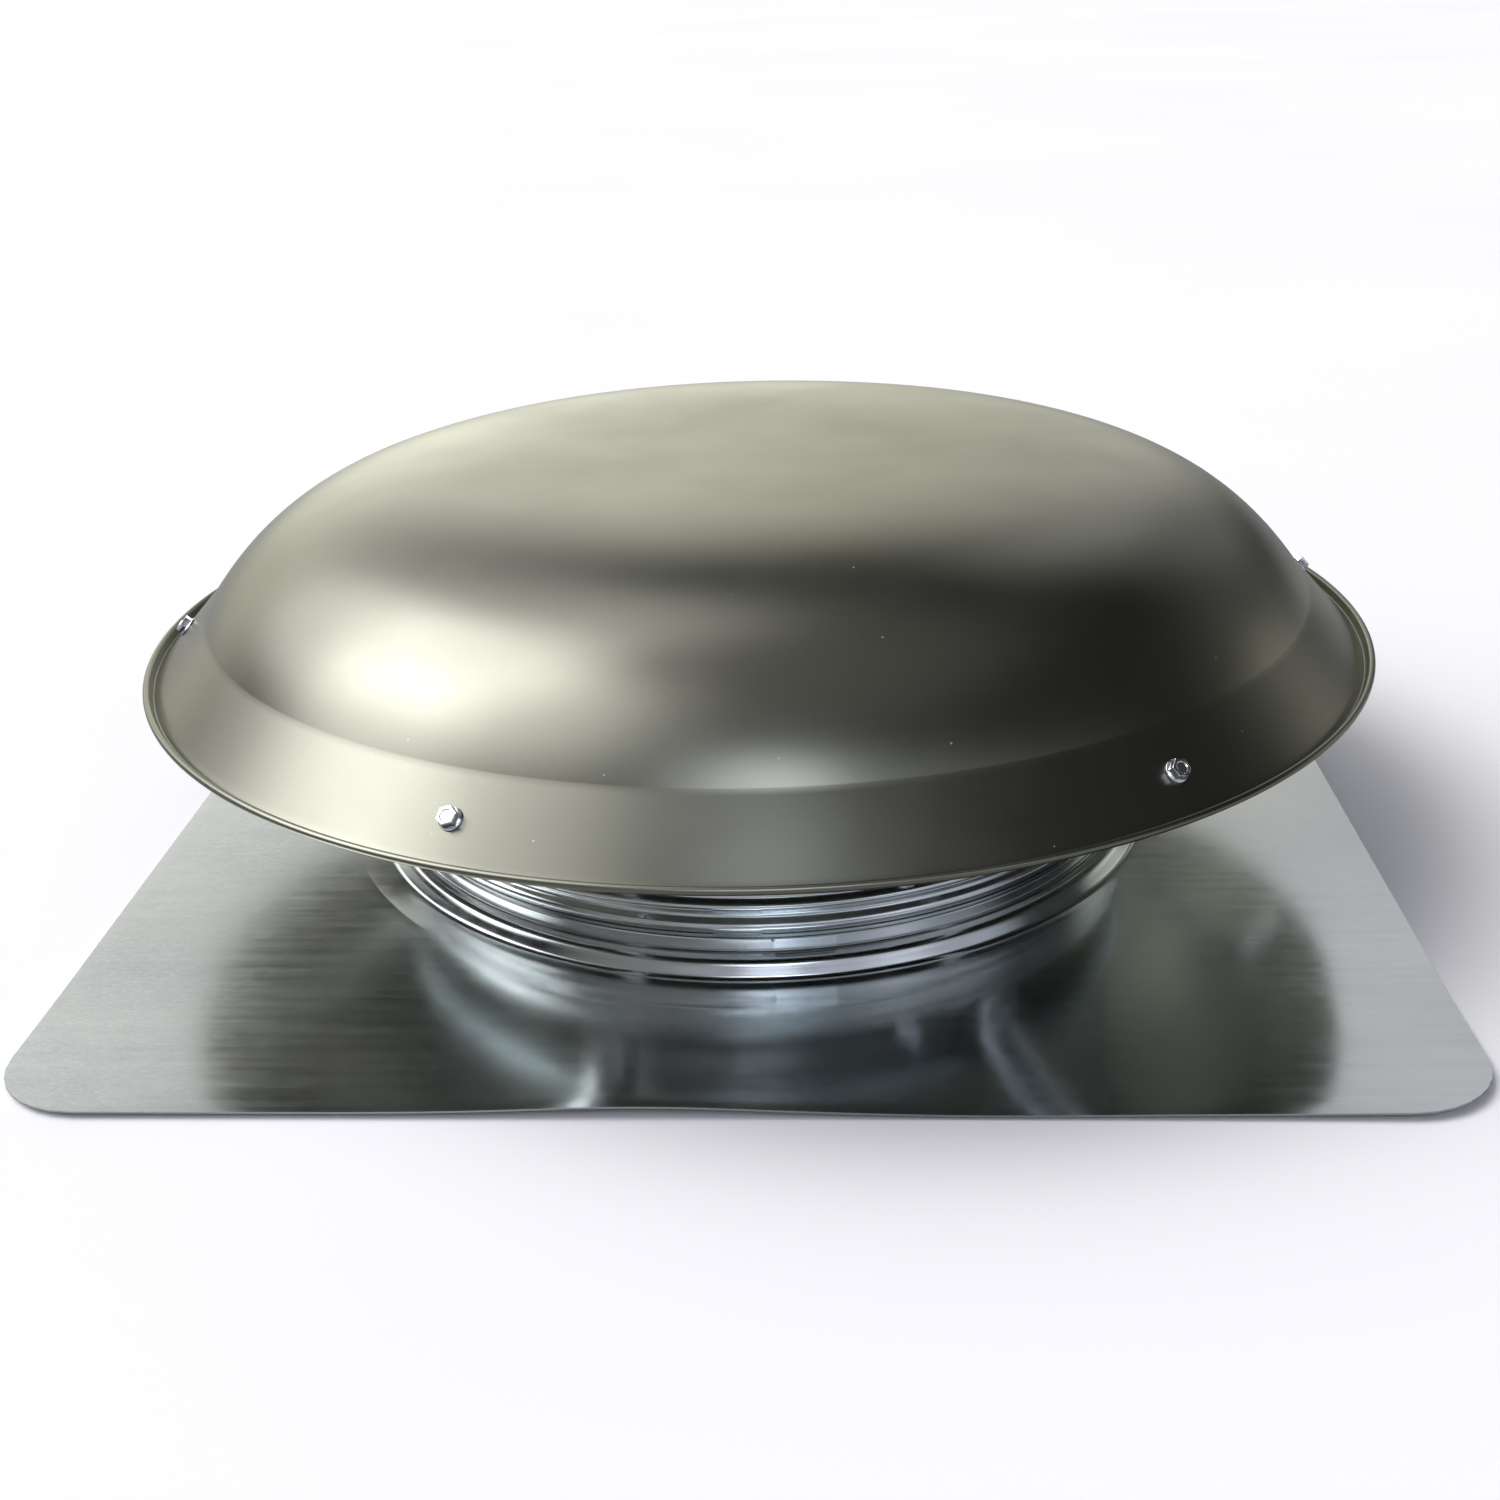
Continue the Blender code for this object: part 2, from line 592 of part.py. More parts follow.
def blade_mesh():
    steps = 6
    stations = [BLADE_ROOT + (BLADE_TIP - BLADE_ROOT) * k / steps for k in range(steps + 1)]
    lanes = [-1.0, -0.5, 0.0, 0.5, 1.0]
    return plate_from_points("fan_blade", blade_point, stations, lanes, BLADE_THICK)


HUB_ARM_THICK = 0.0016
HUB_DROP = BLADE_THICK / 2 + HUB_ARM_THICK / 2 + 0.0011
HUB_LEVEL = FAN_HEIGHT + BLADE_CAMBER - HUB_DROP


def hub_arm_point(radius, across, offset):
    """On a hub arm, which twists from flat at the disc to lie along the back of a blade."""
    share = min(1.0, max(0.0, (radius - HUB_RADIUS) / (BLADE_ROOT - HUB_RADIUS)))
    pitch = blade_pitch(radius) * share
    along = across * HUB_ARM_HALF_WIDTH
    rise = BLADE_CAMBER - HUB_DROP + offset
    y = along * math.cos(pitch) - rise * math.sin(pitch) * share
    z = along * math.sin(pitch) + rise * (1 + (math.cos(pitch) - 1) * share)
    return (radius, y, FAN_HEIGHT + z)


def fan_hub_mesh():
    disc = cylinder_mesh("fan_hub", HUB_RADIUS, HUB_LEVEL - 0.0012, HUB_LEVEL + 0.0012, 30)
    boss = cylinder_mesh("boss", BOSS_RADIUS, BOSS_BOTTOM, BOSS_TOP, ROUND_MIDDLE)
    mesh = union(disc, boss)
    stations = [0.020, HUB_RADIUS, (HUB_RADIUS + BLADE_ROOT) / 2, BLADE_ROOT]
    stations += [(BLADE_ROOT + HUB_ARM_END) / 2, HUB_ARM_END]
    arm = plate_from_points("arm", hub_arm_point, stations, [-1.0, 1.0], HUB_ARM_THICK)
    arms = [moved_copy(arm, about_z(a)) for a in angles(BLADES, 0)]
    mesh = union(mesh, joined("arms", arms))
    bore = cylinder_mesh("bore", SHAFT_RADIUS + GAP, BOSS_BOTTOM - 0.01, BOSS_TOP + 0.01, ROUND_MIDDLE)
    screw_hole = cylinder_mesh("hole", 0.0023, 0, 0.012)
    screw_hole.transform(radial_frame(0, 0.003, SET_SCREW_HEIGHT))
    return cut(mesh, joined("cutters", [bore, screw_hole]))


def make_fan(finishes):
    axis = bpy.data.objects.new("fan_axis", None)
    bpy.context.scene.collection.objects.link(axis)
    place("fan_hub", fan_hub_mesh(), finishes["steel"], parent=axis)
    blade = blade_mesh()
    for k, angle in enumerate(angles(BLADES, 0)):
        place(f"fan_blade_{k + 1}", blade, finishes["aluminium"], about_z(angle), parent=axis)
    set_screw = cylinder_mesh("hub_set_screw", 0.0020, 0, 0.0070, ROUND_FINE)
    set_screw_seat = radial_frame(0, 0.0048, SET_SCREW_HEIGHT)
    place("hub_set_screw", set_screw, finishes["motor"], set_screw_seat, parent=axis)
    shaft = cylinder_mesh("motor_shaft", SHAFT_RADIUS, SHAFT_BOTTOM, SHAFT_TOP, ROUND_MIDDLE)
    place("motor_shaft", shaft, finishes["steel"], parent=axis)
    overhang = 0.0005
    magnet = tube_section(SHAFT_RADIUS + GAP, ROTOR_RADIUS, CORE_BOTTOM - overhang, CORE_TOP + overhang)
    motor_part("rotor_magnet", magnet, finishes["magnet"], parent=axis)
    for name, level in (("lower", LOWER_BEARING), ("upper", UPPER_BEARING)):
        race = tube_section(*BEARING_INNER, *level)
        motor_part(f"{name}_bearing_inner", race, finishes["steel"], axis, ROUND_MIDDLE)


# --- Lead and socket, laid along the first arm -------------------------------------------------
LEAD_LEVEL = ARM_TOP + LEAD_RADIUS + 0.0005
LEAD_CLIPS = (0.088, 0.122)
SOCKET_START = 0.1455
SOCKET_LENGTH = 0.024
SOCKET_HALF_WIDTH = 0.0085
SOCKET_TOP = 0.0655


def make_lead(finishes):
    route = [
        (0.0395, LEAD_EXIT_HEIGHT), (0.046, LEAD_EXIT_HEIGHT), (0.053, 0.1072), (0.0585, 0.1025),
        (0.0605, 0.094), (0.0608, 0.082), (0.0612, 0.070), (0.0645, 0.0605), (0.072, 0.0556),
        (0.082, LEAD_LEVEL), (0.110, LEAD_LEVEL), (SOCKET_START - GAP, LEAD_LEVEL),
    ]
    curve = bpy.data.curves.new("motor_lead", "CURVE")
    curve.dimensions = "3D"
    curve.bevel_depth = LEAD_RADIUS
    curve.bevel_resolution = 2
    curve.use_fill_caps = True
    points = smooth_points([(r, 0, z) for r, z in route], 4 * LEAD_RADIUS)
    spline = curve.splines.new("POLY")
    spline.points.add(len(points) - 1)
    for slot, point in zip(spline.points, points):
        slot.co = (*point, 1)
    curve.materials.append(finishes["plastic"])
    lead = bpy.data.objects.new("motor_lead", curve)
    bpy.context.scene.collection.objects.link(lead)
    lead.matrix_local = about_z(FIRST_ARM)

    grommet = [(0.0029, -0.0016), (0.0040, -0.0016), (0.0040, 0.0006), (0.0060, 0.0006), (0.0060, 0.0026)]
    grommet += [(0.0040, 0.0048), (0.0029, 0.0048)]
    seat = radial_frame(FIRST_ARM, MOTOR_RADIUS, LEAD_EXIT_HEIGHT)
    place("lead_grommet", turned("lead_grommet", grommet, ROUND_SMALL), finishes["rubber"], seat)


def clip_mesh():
    """A saddle clip over the lead, along Y and Z, with a foot on each side."""
    inner = LEAD_RADIUS + GAP
    steps = 6
    rise = LEAD_LEVEL
    turns = [math.pi * k / steps for k in range(steps + 1)]
    arch = [(inner * math.cos(a), rise + inner * math.sin(a)) for a in turns]
    foot = ARM_TOP + GAP
    path = [(0.0095, foot), (inner, foot), *arch, (-inner, foot), (-0.0095, foot)]
    outline = sheet_section(path, -0.0010)
    mesh = extruded("lead_clip", outline, -0.004, 0.004)
    mesh.transform(Matrix(((0, 0, 1, 0), (1, 0, 0, 0), (0, 1, 0, 0), (0, 0, 0, 1))))
    return mesh


def make_lead_fittings(finishes):
    clip = clip_mesh()
    for k, radius in enumerate(LEAD_CLIPS):
        frame = about_z(FIRST_ARM) @ Matrix.Translation((radius, 0, 0))
        place(f"lead_clip_{k + 1}", clip, finishes["zinc"], frame)
    end = SOCKET_START + SOCKET_LENGTH
    corners = [
        (SOCKET_START, -SOCKET_HALF_WIDTH), (end, -SOCKET_HALF_WIDTH),
        (end, SOCKET_HALF_WIDTH), (SOCKET_START, SOCKET_HALF_WIDTH),
    ]
    body = extruded("dc_socket", corners, ARM_TOP + GAP, SOCKET_TOP)
    start, stop = (SOCKET_START + end) / 2 - 0.008, (SOCKET_START + end) / 2 + 0.008
    side = 2 * SOCKET_HALF_WIDTH
    mouth = extruded("mouth", [(start, 0), (stop, 0), (stop, side), (start, side)], 0.0555, 0.0625)
    place("dc_socket", cut(body, mouth), finishes["plastic"], about_z(FIRST_ARM))


def main():
    for old in list(bpy.data.objects):
        bpy.data.objects.remove(old)
    finishes = make_materials()
    make_flashing(finishes["galvanised"])
    make_collar(finishes["galvanised"])
    make_screen(finishes["galvanised"])
    make_hood(finishes["hood"])
    make_brackets(finishes["galvanised"], finishes["steel"])
    make_hood_screws(finishes["zinc"])
    make_motor_bracket(finishes["galvanised"], finishes["zinc"])
    make_motor_fixings(finishes["rubber"], finishes["zinc"])
    make_motor_case(finishes)
    make_motor_inside(finishes)
    make_fan(finishes)
    make_lead(finishes)
    make_lead_fittings(finishes)


main()
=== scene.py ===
"""Looks for a roof-mounted attic fan: spun hood, beaded throat, square galvanised flashing, motor and fan."""

import math

import bmesh
import bpy
from mathutils import Matrix, Vector, noise


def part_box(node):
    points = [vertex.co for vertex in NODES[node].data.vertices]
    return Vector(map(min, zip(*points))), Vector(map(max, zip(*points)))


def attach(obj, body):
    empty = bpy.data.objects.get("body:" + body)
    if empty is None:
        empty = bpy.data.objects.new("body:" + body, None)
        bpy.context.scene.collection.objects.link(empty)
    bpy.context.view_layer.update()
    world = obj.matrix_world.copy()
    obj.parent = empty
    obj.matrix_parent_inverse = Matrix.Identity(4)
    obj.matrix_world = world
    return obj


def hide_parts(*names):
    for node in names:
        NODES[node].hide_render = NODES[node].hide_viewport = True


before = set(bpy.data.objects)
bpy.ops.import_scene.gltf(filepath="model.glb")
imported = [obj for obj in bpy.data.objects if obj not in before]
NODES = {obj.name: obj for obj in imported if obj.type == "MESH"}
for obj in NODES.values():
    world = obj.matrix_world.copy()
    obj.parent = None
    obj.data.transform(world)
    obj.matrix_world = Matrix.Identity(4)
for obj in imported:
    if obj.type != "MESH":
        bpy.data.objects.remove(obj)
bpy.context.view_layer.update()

MM = 0.001
HOUSING = "housing"
FAN = "fan"


# --- Frame positions ----------------------------------------------------------------------------
def centre_of(node):
    low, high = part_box(node)
    return (low + high) / 2


def azimuth_of(node):
    centre = centre_of(node)
    return math.atan2(centre.y, centre.x)


def numbered(stem):
    """The names of the nodes stem_1, stem_2 and so on."""
    return sorted(n for n in NODES if n.startswith(stem + "_") and n[len(stem) + 1:].isdigit())


SHEET = 0.8 * MM
ARM_AZIMUTH = azimuth_of("dc_socket")
STILL = Matrix.Identity(4)


# --- Node graphs --------------------------------------------------------------------------------
class Graph:
    """Adds nodes to a tree; a value given for an input is a socket to link or a constant."""

    def __init__(self, tree):
        self.tree = tree
        tree.nodes.clear()

    def add(self, kind, inputs=None, **settings):
        made = self.tree.nodes.new("ShaderNode" + kind)
        for name, value in settings.items():
            setattr(made, name, value)
        for name, value in (inputs or {}).items():
            if isinstance(value, bpy.types.NodeSocket):
                self.tree.links.new(value, made.inputs[name])
            else:
                made.inputs[name].default_value = value
        return made

    def math(self, operation, a, b):
        return self.add("Math", {0: a, 1: b}, operation=operation).outputs[0]

    def ramp(self, value, low, high, to_low=0.0, to_high=1.0):
        """A smooth step of the value between low and high."""
        inputs = {"Value": value, "From Min": low, "From Max": high, "To Min": to_low, "To Max": to_high}
        return self.add("MapRange", inputs, interpolation_type="SMOOTHSTEP").outputs[0]

    def mix(self, factor, a, b):
        return self.add("Mix", {0: factor, 6: a, 7: b}, data_type="RGBA").outputs[2]

    def position(self, scale=(1, 1, 1)):
        point = self.add("TexCoord").outputs["Object"]
        return self.add("Mapping", {"Vector": point, "Scale": scale}).outputs[0]

    def noise(self, scale, stretch=(1, 1, 1), detail=3.0, roughness=0.5):
        inputs = {"Vector": self.position(stretch), "Scale": scale, "Detail": detail, "Roughness": roughness}
        return self.add("TexNoise", inputs).outputs[0]

    def bump(self, height, strength, distance, normal=None):
        inputs = {"Height": height, "Strength": strength, "Distance": distance}
        if normal is not None:
            inputs["Normal"] = normal
        return self.add("Bump", inputs).outputs[0]

    def surface(self, colour, roughness, metallic, normal=None):
        inputs = {"Base Color": colour, "Roughness": roughness, "Metallic": metallic}
        if normal is not None:
            inputs["Normal"] = normal
        shader = self.add("BsdfPrincipled", inputs)
        self.add("OutputMaterial", {"Surface": shader.outputs[0]})


def rgba(colour):
    return (*colour, 1.0)


def new_graph(name):
    made = bpy.data.materials.new(name)
    made.use_nodes = True
    return made, Graph(made.node_tree)


# --- Materials ----------------------------------------------------------------------------------
PAINT_LIGHT = (0.222, 0.225, 0.184)
PAINT_DARK = (0.202, 0.204, 0.167)
PAINT_FLAKE = (0.30, 0.30, 0.26)
DUST_TONE = (0.75, 0.75, 0.70)
FLAKES_PER_METRE = 1100.0
ZINC_TINT = (0.95, 0.99, 0.98)
ZINC_COOL = (0.87, 0.94, 0.95)
ZINC_PALE = (1.12, 1.15, 1.15)
STREAK_FINE = 170.0
STREAK_LONG = 9.0
ZINC_CELLS = 150.0
DULL_FROM = 0.10
DULL_FULL = -0.30
PLATING_TINT = (0.72, 0.76, 0.86)


def hood_paint():
    """Satin bronze-grey baked enamel with metal flake, faint orange peel and a little dust."""
    made, g = new_graph("hood_paint")
    clouds = g.ramp(g.noise(7.0, detail=4.0), 0.35, 0.7)
    colour = g.mix(clouds, rgba(PAINT_LIGHT), rgba(PAINT_DARK))
    flake = g.ramp(g.noise(FLAKES_PER_METRE, detail=1.0), 0.5, 0.75)
    colour = g.mix(g.math("MULTIPLY", flake, 0.10), colour, rgba(PAINT_FLAKE))
    dust_cells = g.add("TexVoronoi", {"Vector": g.position(), "Scale": 60.0}).outputs["Distance"]
    dust = g.ramp(dust_cells, 0.02, 0.035, 1.0, 0.0)
    colour = g.mix(g.math("MULTIPLY", dust, 0.5), colour, rgba(DUST_TONE))
    rough = g.ramp(g.noise(16.0, detail=3.0), 0.3, 0.75, 0.275, 0.315)
    rough = g.math("ADD", rough, g.math("MULTIPLY", dust, 0.3))
    peel = g.bump(g.noise(420.0, detail=1.0), 0.06, 0.0001)
    g.surface(colour, rough, 1.0, peel)
    return made


def galvanised(name, tone, rough, streak_axis, spangle=0.5, dull=0.0):
    """Zinc-coated sheet: pale cells, rolling streaks along one axis, and a side that is paler in speckles and
    duller towards -X.

    Each use keeps its roughness range wholly above or wholly below 0.27.
    """
    made, g = new_graph(name)
    stretch = [STREAK_FINE] * 3
    stretch[streak_axis] = STREAK_LONG
    streaks = g.noise(1.0, stretch, detail=5.0, roughness=0.65)
    cells = g.add("TexVoronoi", {"Vector": g.position(), "Scale": ZINC_CELLS}).outputs["Color"]
    grain = g.add("SeparateColor", {"Color": cells}).outputs[0]
    patches = g.ramp(g.noise(9.0, detail=5.0, roughness=0.6), 0.34, 0.68)
    base = rgba([tone * c for c in ZINC_TINT])
    cool = rgba([tone * c for c in ZINC_COOL])
    pale = rgba([min(1.0, tone * c) for c in ZINC_PALE])
    colour = g.mix(patches, base, cool)
    colour = g.mix(g.math("MULTIPLY", grain, 0.22 * spangle), colour, pale)
    value = g.ramp(streaks, 0.3, 0.7, rough * 0.85, rough * 1.18)
    value = g.math("ADD", value, g.math("MULTIPLY", grain, 0.04 * spangle))
    normal = g.bump(streaks, 0.04, 0.00006)
    normal = g.bump(grain, 0.04 * spangle, 0.00005, normal)
    if dull:
        speckle = g.ramp(g.noise(1.0, (420.0, 700.0, 700.0), detail=3.0, roughness=0.7), 0.42, 0.66)
        across = g.add("SeparateXYZ", {"Vector": g.position()}).outputs[0]
        across = g.math("ADD", across, g.math("MULTIPLY", g.noise(6.0), 0.10))
        # Colour turns paler in speckles and roughness rises towards -X, fading out by DULL_FROM.
        toward_minus_x = g.ramp(across, DULL_FULL, DULL_FROM, 1.0, 0.0)
        colour = g.mix(g.math("MULTIPLY", g.math("MULTIPLY", toward_minus_x, speckle), 0.45), colour, pale)
        value = g.math("ADD", value, g.math("MULTIPLY", toward_minus_x, dull))
        normal = g.bump(speckle, 0.04, 0.00006, normal)
    g.surface(colour, value, 1.0, normal)
    return made


def plated(name, colour, rough):
    """Bright plating with a faint second tint and fine scratches."""
    made, g = new_graph(name)
    drift = g.ramp(g.noise(160.0, detail=3.0), 0.35, 0.65)
    base = g.mix(g.math("MULTIPLY", drift, 0.5), rgba(colour), rgba(PLATING_TINT))
    scratches = g.noise(1.0, (900.0, 900.0, 60.0), detail=3.0)
    value = g.ramp(scratches, 0.35, 0.7, rough * 0.8, rough * 1.4)
    g.surface(base, value, 1.0, g.bump(scratches, 0.12, 0.00004))
    return made


def turned_metal(name, colour, rough):
    """Turned or stamped metal with fine rings along its height."""
    made, g = new_graph(name)
    rings = g.noise(1.0, (40.0, 40.0, 1500.0), detail=4.0)
    soot = g.ramp(g.noise(35.0, detail=4.0), 0.4, 0.75)
    base = g.mix(g.math("MULTIPLY", soot, 0.35), rgba(colour), rgba([0.6 * c for c in colour]))
    value = g.ramp(rings, 0.3, 0.7, rough * 0.8, rough * 1.3)
    g.surface(base, value, 1.0, g.bump(rings, 0.2, 0.00005))
    return made


def moulded(name, colour, rough, grain, metallic=0.0):
    """Moulded, rubber-like or enamelled finish with a fine grain and slight fading."""
    made, g = new_graph(name)
    fade = g.ramp(g.noise(22.0, detail=4.0), 0.35, 0.7)
    base = g.mix(fade, rgba(colour), rgba([1.7 * c + 0.004 for c in colour]))
    value = g.ramp(g.noise(60.0, detail=3.0), 0.3, 0.7, rough * 0.85, rough * 1.15)
    g.surface(base, value, metallic, g.bump(g.noise(grain, detail=2.0), 0.25, 0.0001))
    return made


def striped_metal(name, light, dark, pitch, rough):
    """Stacked laminations or wound wire: thin bands along Z."""
    made, g = new_graph(name)
    settings = {"Vector": g.position(), "Scale": 1 / pitch, "Distortion": 0.4}
    wave = g.add("TexWave", settings, bands_direction="Z").outputs["Color"]
    height = g.add("SeparateColor", {"Color": wave}).outputs[0]
    colour = g.mix(g.ramp(height, 0.2, 0.6), rgba(dark), rgba(light))
    g.surface(colour, rough, 1.0, g.bump(height, 0.6, 0.0002))
    return made


# --- Mesh helpers -------------------------------------------------------------------------------
DOUBLE = 1e-7
PARALLEL = 1e-4


def piece(name, mesh, finish, body, replaced=(), angle=35.0):
    """An object for a mesh, smooth where it is round, riding on a body."""
    mesh.materials.append(finish)
    mesh.shade_smooth()
    mesh.set_sharp_from_angle(angle=math.radians(angle))
    made = bpy.data.objects.new(name, mesh)
    bpy.context.scene.collection.objects.link(made)
    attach(made, body)
    if replaced:
        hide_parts(*replaced)
    return made


def mesh_from(name, points, faces):
    mesh = bpy.data.meshes.new(name)
    mesh.from_pydata([tuple(p) for p in points], [], faces)
    bm = bmesh.new()
    bm.from_mesh(mesh)
    bmesh.ops.remove_doubles(bm, verts=bm.verts, dist=DOUBLE)
    bmesh.ops.recalc_face_normals(bm, faces=bm.faces)
    bm.to_mesh(mesh)
    bm.free()
    return mesh


def merged(name, meshes):
    """One mesh holding several, each (mesh, matrix)."""
    bm = bmesh.new()
    for mesh, matrix in meshes:
        part = mesh.copy()
        part.transform(matrix)
        bm.from_mesh(part)
        bpy.data.meshes.remove(part)
    made = bpy.data.meshes.new(name)
    bm.to_mesh(made)
    bm.free()
    return made


def rounded(points, steps=5):
    """The points as a path whose corners with a third value, a fillet size, are curved."""
    path = []
    for i, point in enumerate(points):
        here = Vector(point[:2])
        if len(point) < 3:
            path.append(tuple(here))
            continue
        before = Vector(points[i - 1][:2]) - here
        after = Vector(points[i + 1][:2]) - here
        half = before.angle(after) / 2
        reach = min(point[2] / math.tan(half), 0.48 * before.length, 0.48 * after.length)
        start = here + before.normalized() * reach
        end = here + after.normalized() * reach
        for k in range(steps + 1):
            t = k / steps
            path.append(tuple(start * (1 - t) ** 2 + here * 2 * t * (1 - t) + end * t ** 2))
    return path


def scaled(points):
    """Millimetre points in metres."""
    return [tuple(value * MM for value in point) for point in points]


def offset_path(path, distance):
    """The path moved to its left by a distance, with mitred corners."""
    points = [Vector(p) for p in path]
    moved = []
    for i, point in enumerate(points):
        before = (point - points[i - 1]).normalized() if i else None
        after = (points[i + 1] - point).normalized() if i + 1 < len(points) else None
        before, after = before or after, after or before
        normal = Vector((-before.y - after.y, before.x + after.x)).normalized()
        stretch = max(0.5, normal.dot(Vector((-before.y, before.x))))
        moved.append(tuple(point + normal * distance / stretch))
    return moved


def sheet_loop(path, thickness):
    """The outline of a sheet whose one face is the path."""
    return list(path) + offset_path(path, thickness)[::-1]


def revolved(name, section, segments, adjust=None, closed=True, start=0.0, sweep=math.tau):
    """A section of (radius, height) points turned about Z. adjust moves a point after turning."""
    full = sweep == math.tau
    count = segments if full else segments + 1
    points = []
    for k in range(count):
        a = start + sweep * k / segments
        for r, z in section:
            point = Vector((r * math.cos(a), r * math.sin(a), z))
            points.append(adjust(point) if adjust else point)
    n = len(section)
    faces = []
    for k in range(segments):
        one = k * n
        two = ((k + 1) % count) * n
        for i in range(n if closed else n - 1):
            j = (i + 1) % n
            quad = [one + i, one + j, two + j, two + i]
            if section[i][0] == 0 and section[j][0] == 0:
                continue
            if section[i][0] == 0:
                quad = [one + i, one + j, two + j]
            elif section[j][0] == 0:
                quad = [one + i, one + j, two + i]
            faces.append(quad)
    if not full:
        faces.append(list(range(n)))
        faces.append([(count - 1) * n + i for i in reversed(range(n))])
    return mesh_from(name, points, faces)


def add_tube(store, route, radius, sides, closed=False):
    """Adds a tube along a route to a store of points and faces."""
    points, faces = store
    first = len(points)
    count = len(route)
    for i, here in enumerate(route):
        ahead = route[(i + 1) % count] if closed or i + 1 < count else here
        behind = route[i - 1] if closed or i else here
        along = (ahead - behind).normalized()
        side = along.cross(Vector((0, 0, 1)))
        if side.length < PARALLEL:
            side = Vector((-here.y, here.x, 0))
        side.normalize()
        if i and side.dot(last) < 0:
            side = -side
        last = side
        up = side.cross(along)
        for k in range(sides):
            a = math.tau * k / sides
            points.append(here + side * radius * math.cos(a) + up * radius * math.sin(a))
    for i in range(count if closed else count - 1):
        one = first + i * sides
        two = first + (i + 1) % count * sides
        for k in range(sides):
            m = (k + 1) % sides
            faces.append([one + k, one + m, two + m, two + k])
    if not closed:
        faces.append([first + k for k in range(sides)])
        faces.append([first + (count - 1) * sides + k for k in range(sides)])


def closed_sheet(name, points, stations, lanes):
    """A thin closed body from the points of two grids, its under side first."""
    n = lanes + 1
    total = n * (stations + 1)
    faces = []
    for s in range(stations):
        for v in range(lanes):
            a = s * n + v
            faces.append([a, a + 1, a + n + 1, a + n])
            faces.append([total + a, total + a + n, total + a + n + 1, total + a + 1])
    rim = list(range(n))
    rim += [s * n + lanes for s in range(1, stations + 1)]
    rim += [stations * n + v for v in range(lanes - 1, -1, -1)]
    rim += [s * n for s in range(stations - 1, 0, -1)]
    for i, a in enumerate(rim):
        b = rim[(i + 1) % len(rim)]
        faces.append([a, b, total + b, total + a])
    return mesh_from(name, points, faces)


def smooth_route(route, steps=8):
    """Catmull-Rom points through a route."""
    route = [Vector(p) for p in route]
    ends = [2 * route[0] - route[1], *route, 2 * route[-1] - route[-2]]
    points = []
    for a, b, c, d in zip(ends, ends[1:], ends[2:], ends[3:]):
        for k in range(steps):
            t = k / steps
            linear = (c - a) * t + (2 * a - 5 * b + 4 * c - d) * t * t
            points.append(b + (linear + (3 * b - a - 3 * c + d) * t ** 3) / 2)
    return points + [route[-1]]


def about_z(angle):
    return Matrix.Rotation(angle, 4, "Z")


def radial(angle, radius, height, tilt=math.pi / 2):
    """A frame at a radius and height whose Z axis leans outwards from +Z by the tilt."""
    return about_z(angle) @ Matrix.Translation((radius, 0, height)) @ Matrix.Rotation(tilt, 4, "Y")


# --- Hood ---------------------------------------------------------------------------------------
HOOD_SHEET = 0.9 * MM
CREASE_RADIUS = 275 * MM
CREASE_HEIGHT = 129 * MM
CROWN_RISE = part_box("hood")[1].z - CREASE_HEIGHT
CROWN_POWER = 6.2
SKIRT_FOOT = (302.0 * MM, 99.6 * MM)
RIM_RADIUS = 307.9 * MM
GUTTER = (303.3 * MM, 98.3 * MM, 1.0 * MM)
BEAD = 1.7 * MM
BEAD_RISE = 2.0 * MM
BEAD_FROM = 175
BEAD_SWEEP = -295
DENT_DEPTH = 0.45 * MM
DENT_REACH = 0.97 * CREASE_RADIUS
DENTS_PER_METRE = 9.0
HOOD_SEGMENTS = 288
HEAD_ACROSS = 8.0
FLANGE_RADIUS = 5.2
SHANK_RADIUS = 2.1
THREAD_PITCH = 1.1
SCREW_SHARE = 0.52
SCREW_TURN = 17


def crown_height(radius):
    return CREASE_HEIGHT + CROWN_RISE * (1 - (radius / CREASE_RADIUS) ** CROWN_POWER)


def skirt_slope():
    return math.atan2(CREASE_HEIGHT - SKIRT_FOOT[1], SKIRT_FOOT[0] - CREASE_RADIUS)


def skirt_point(share):
    return (
        CREASE_RADIUS + share * (SKIRT_FOOT[0] - CREASE_RADIUS),
        CREASE_HEIGHT + share * (SKIRT_FOOT[1] - CREASE_HEIGHT),
    )


def hood_dents(point):
    """Shallow unevenness of a spun sheet, pressed inwards only, and none at the crease and rim."""
    radius = point.xy.length
    fade = max(0.0, 1 - (radius / DENT_REACH) ** 8)
    swell = 0.5 + 0.5 * noise.noise(Vector((point.x, point.y, 0.3)) * DENTS_PER_METRE)
    return point - Vector((0, 0, DENT_DEPTH * fade * swell))


def make_hood(finish):
    steps = 54
    shares = [1 - (1 - k / steps) ** 1.7 for k in range(steps)]
    crown = [(s * CREASE_RADIUS, crown_height(s * CREASE_RADIUS)) for s in shares]
    skirt = [skirt_point(s) for s in (0.0, 0.07, 0.35, 0.65, 0.9)]
    turns = [math.radians(BEAD_FROM + BEAD_SWEEP * k / 20) for k in range(21)]
    level = SKIRT_FOOT[1] + BEAD_RISE
    bead = [(RIM_RADIUS - BEAD + BEAD * math.cos(a), level + BEAD * math.sin(a)) for a in turns]
    section = sheet_loop(rounded(crown + skirt + [GUTTER] + bead, steps=7), -HOOD_SHEET)
    section[-1] = (0.0, section[-1][1])
    mesh = revolved("hood_shell", section, HOOD_SEGMENTS, hood_dents, closed=False)
    piece("hood_shell", mesh, finish, HOUSING, ["hood"], angle=50)


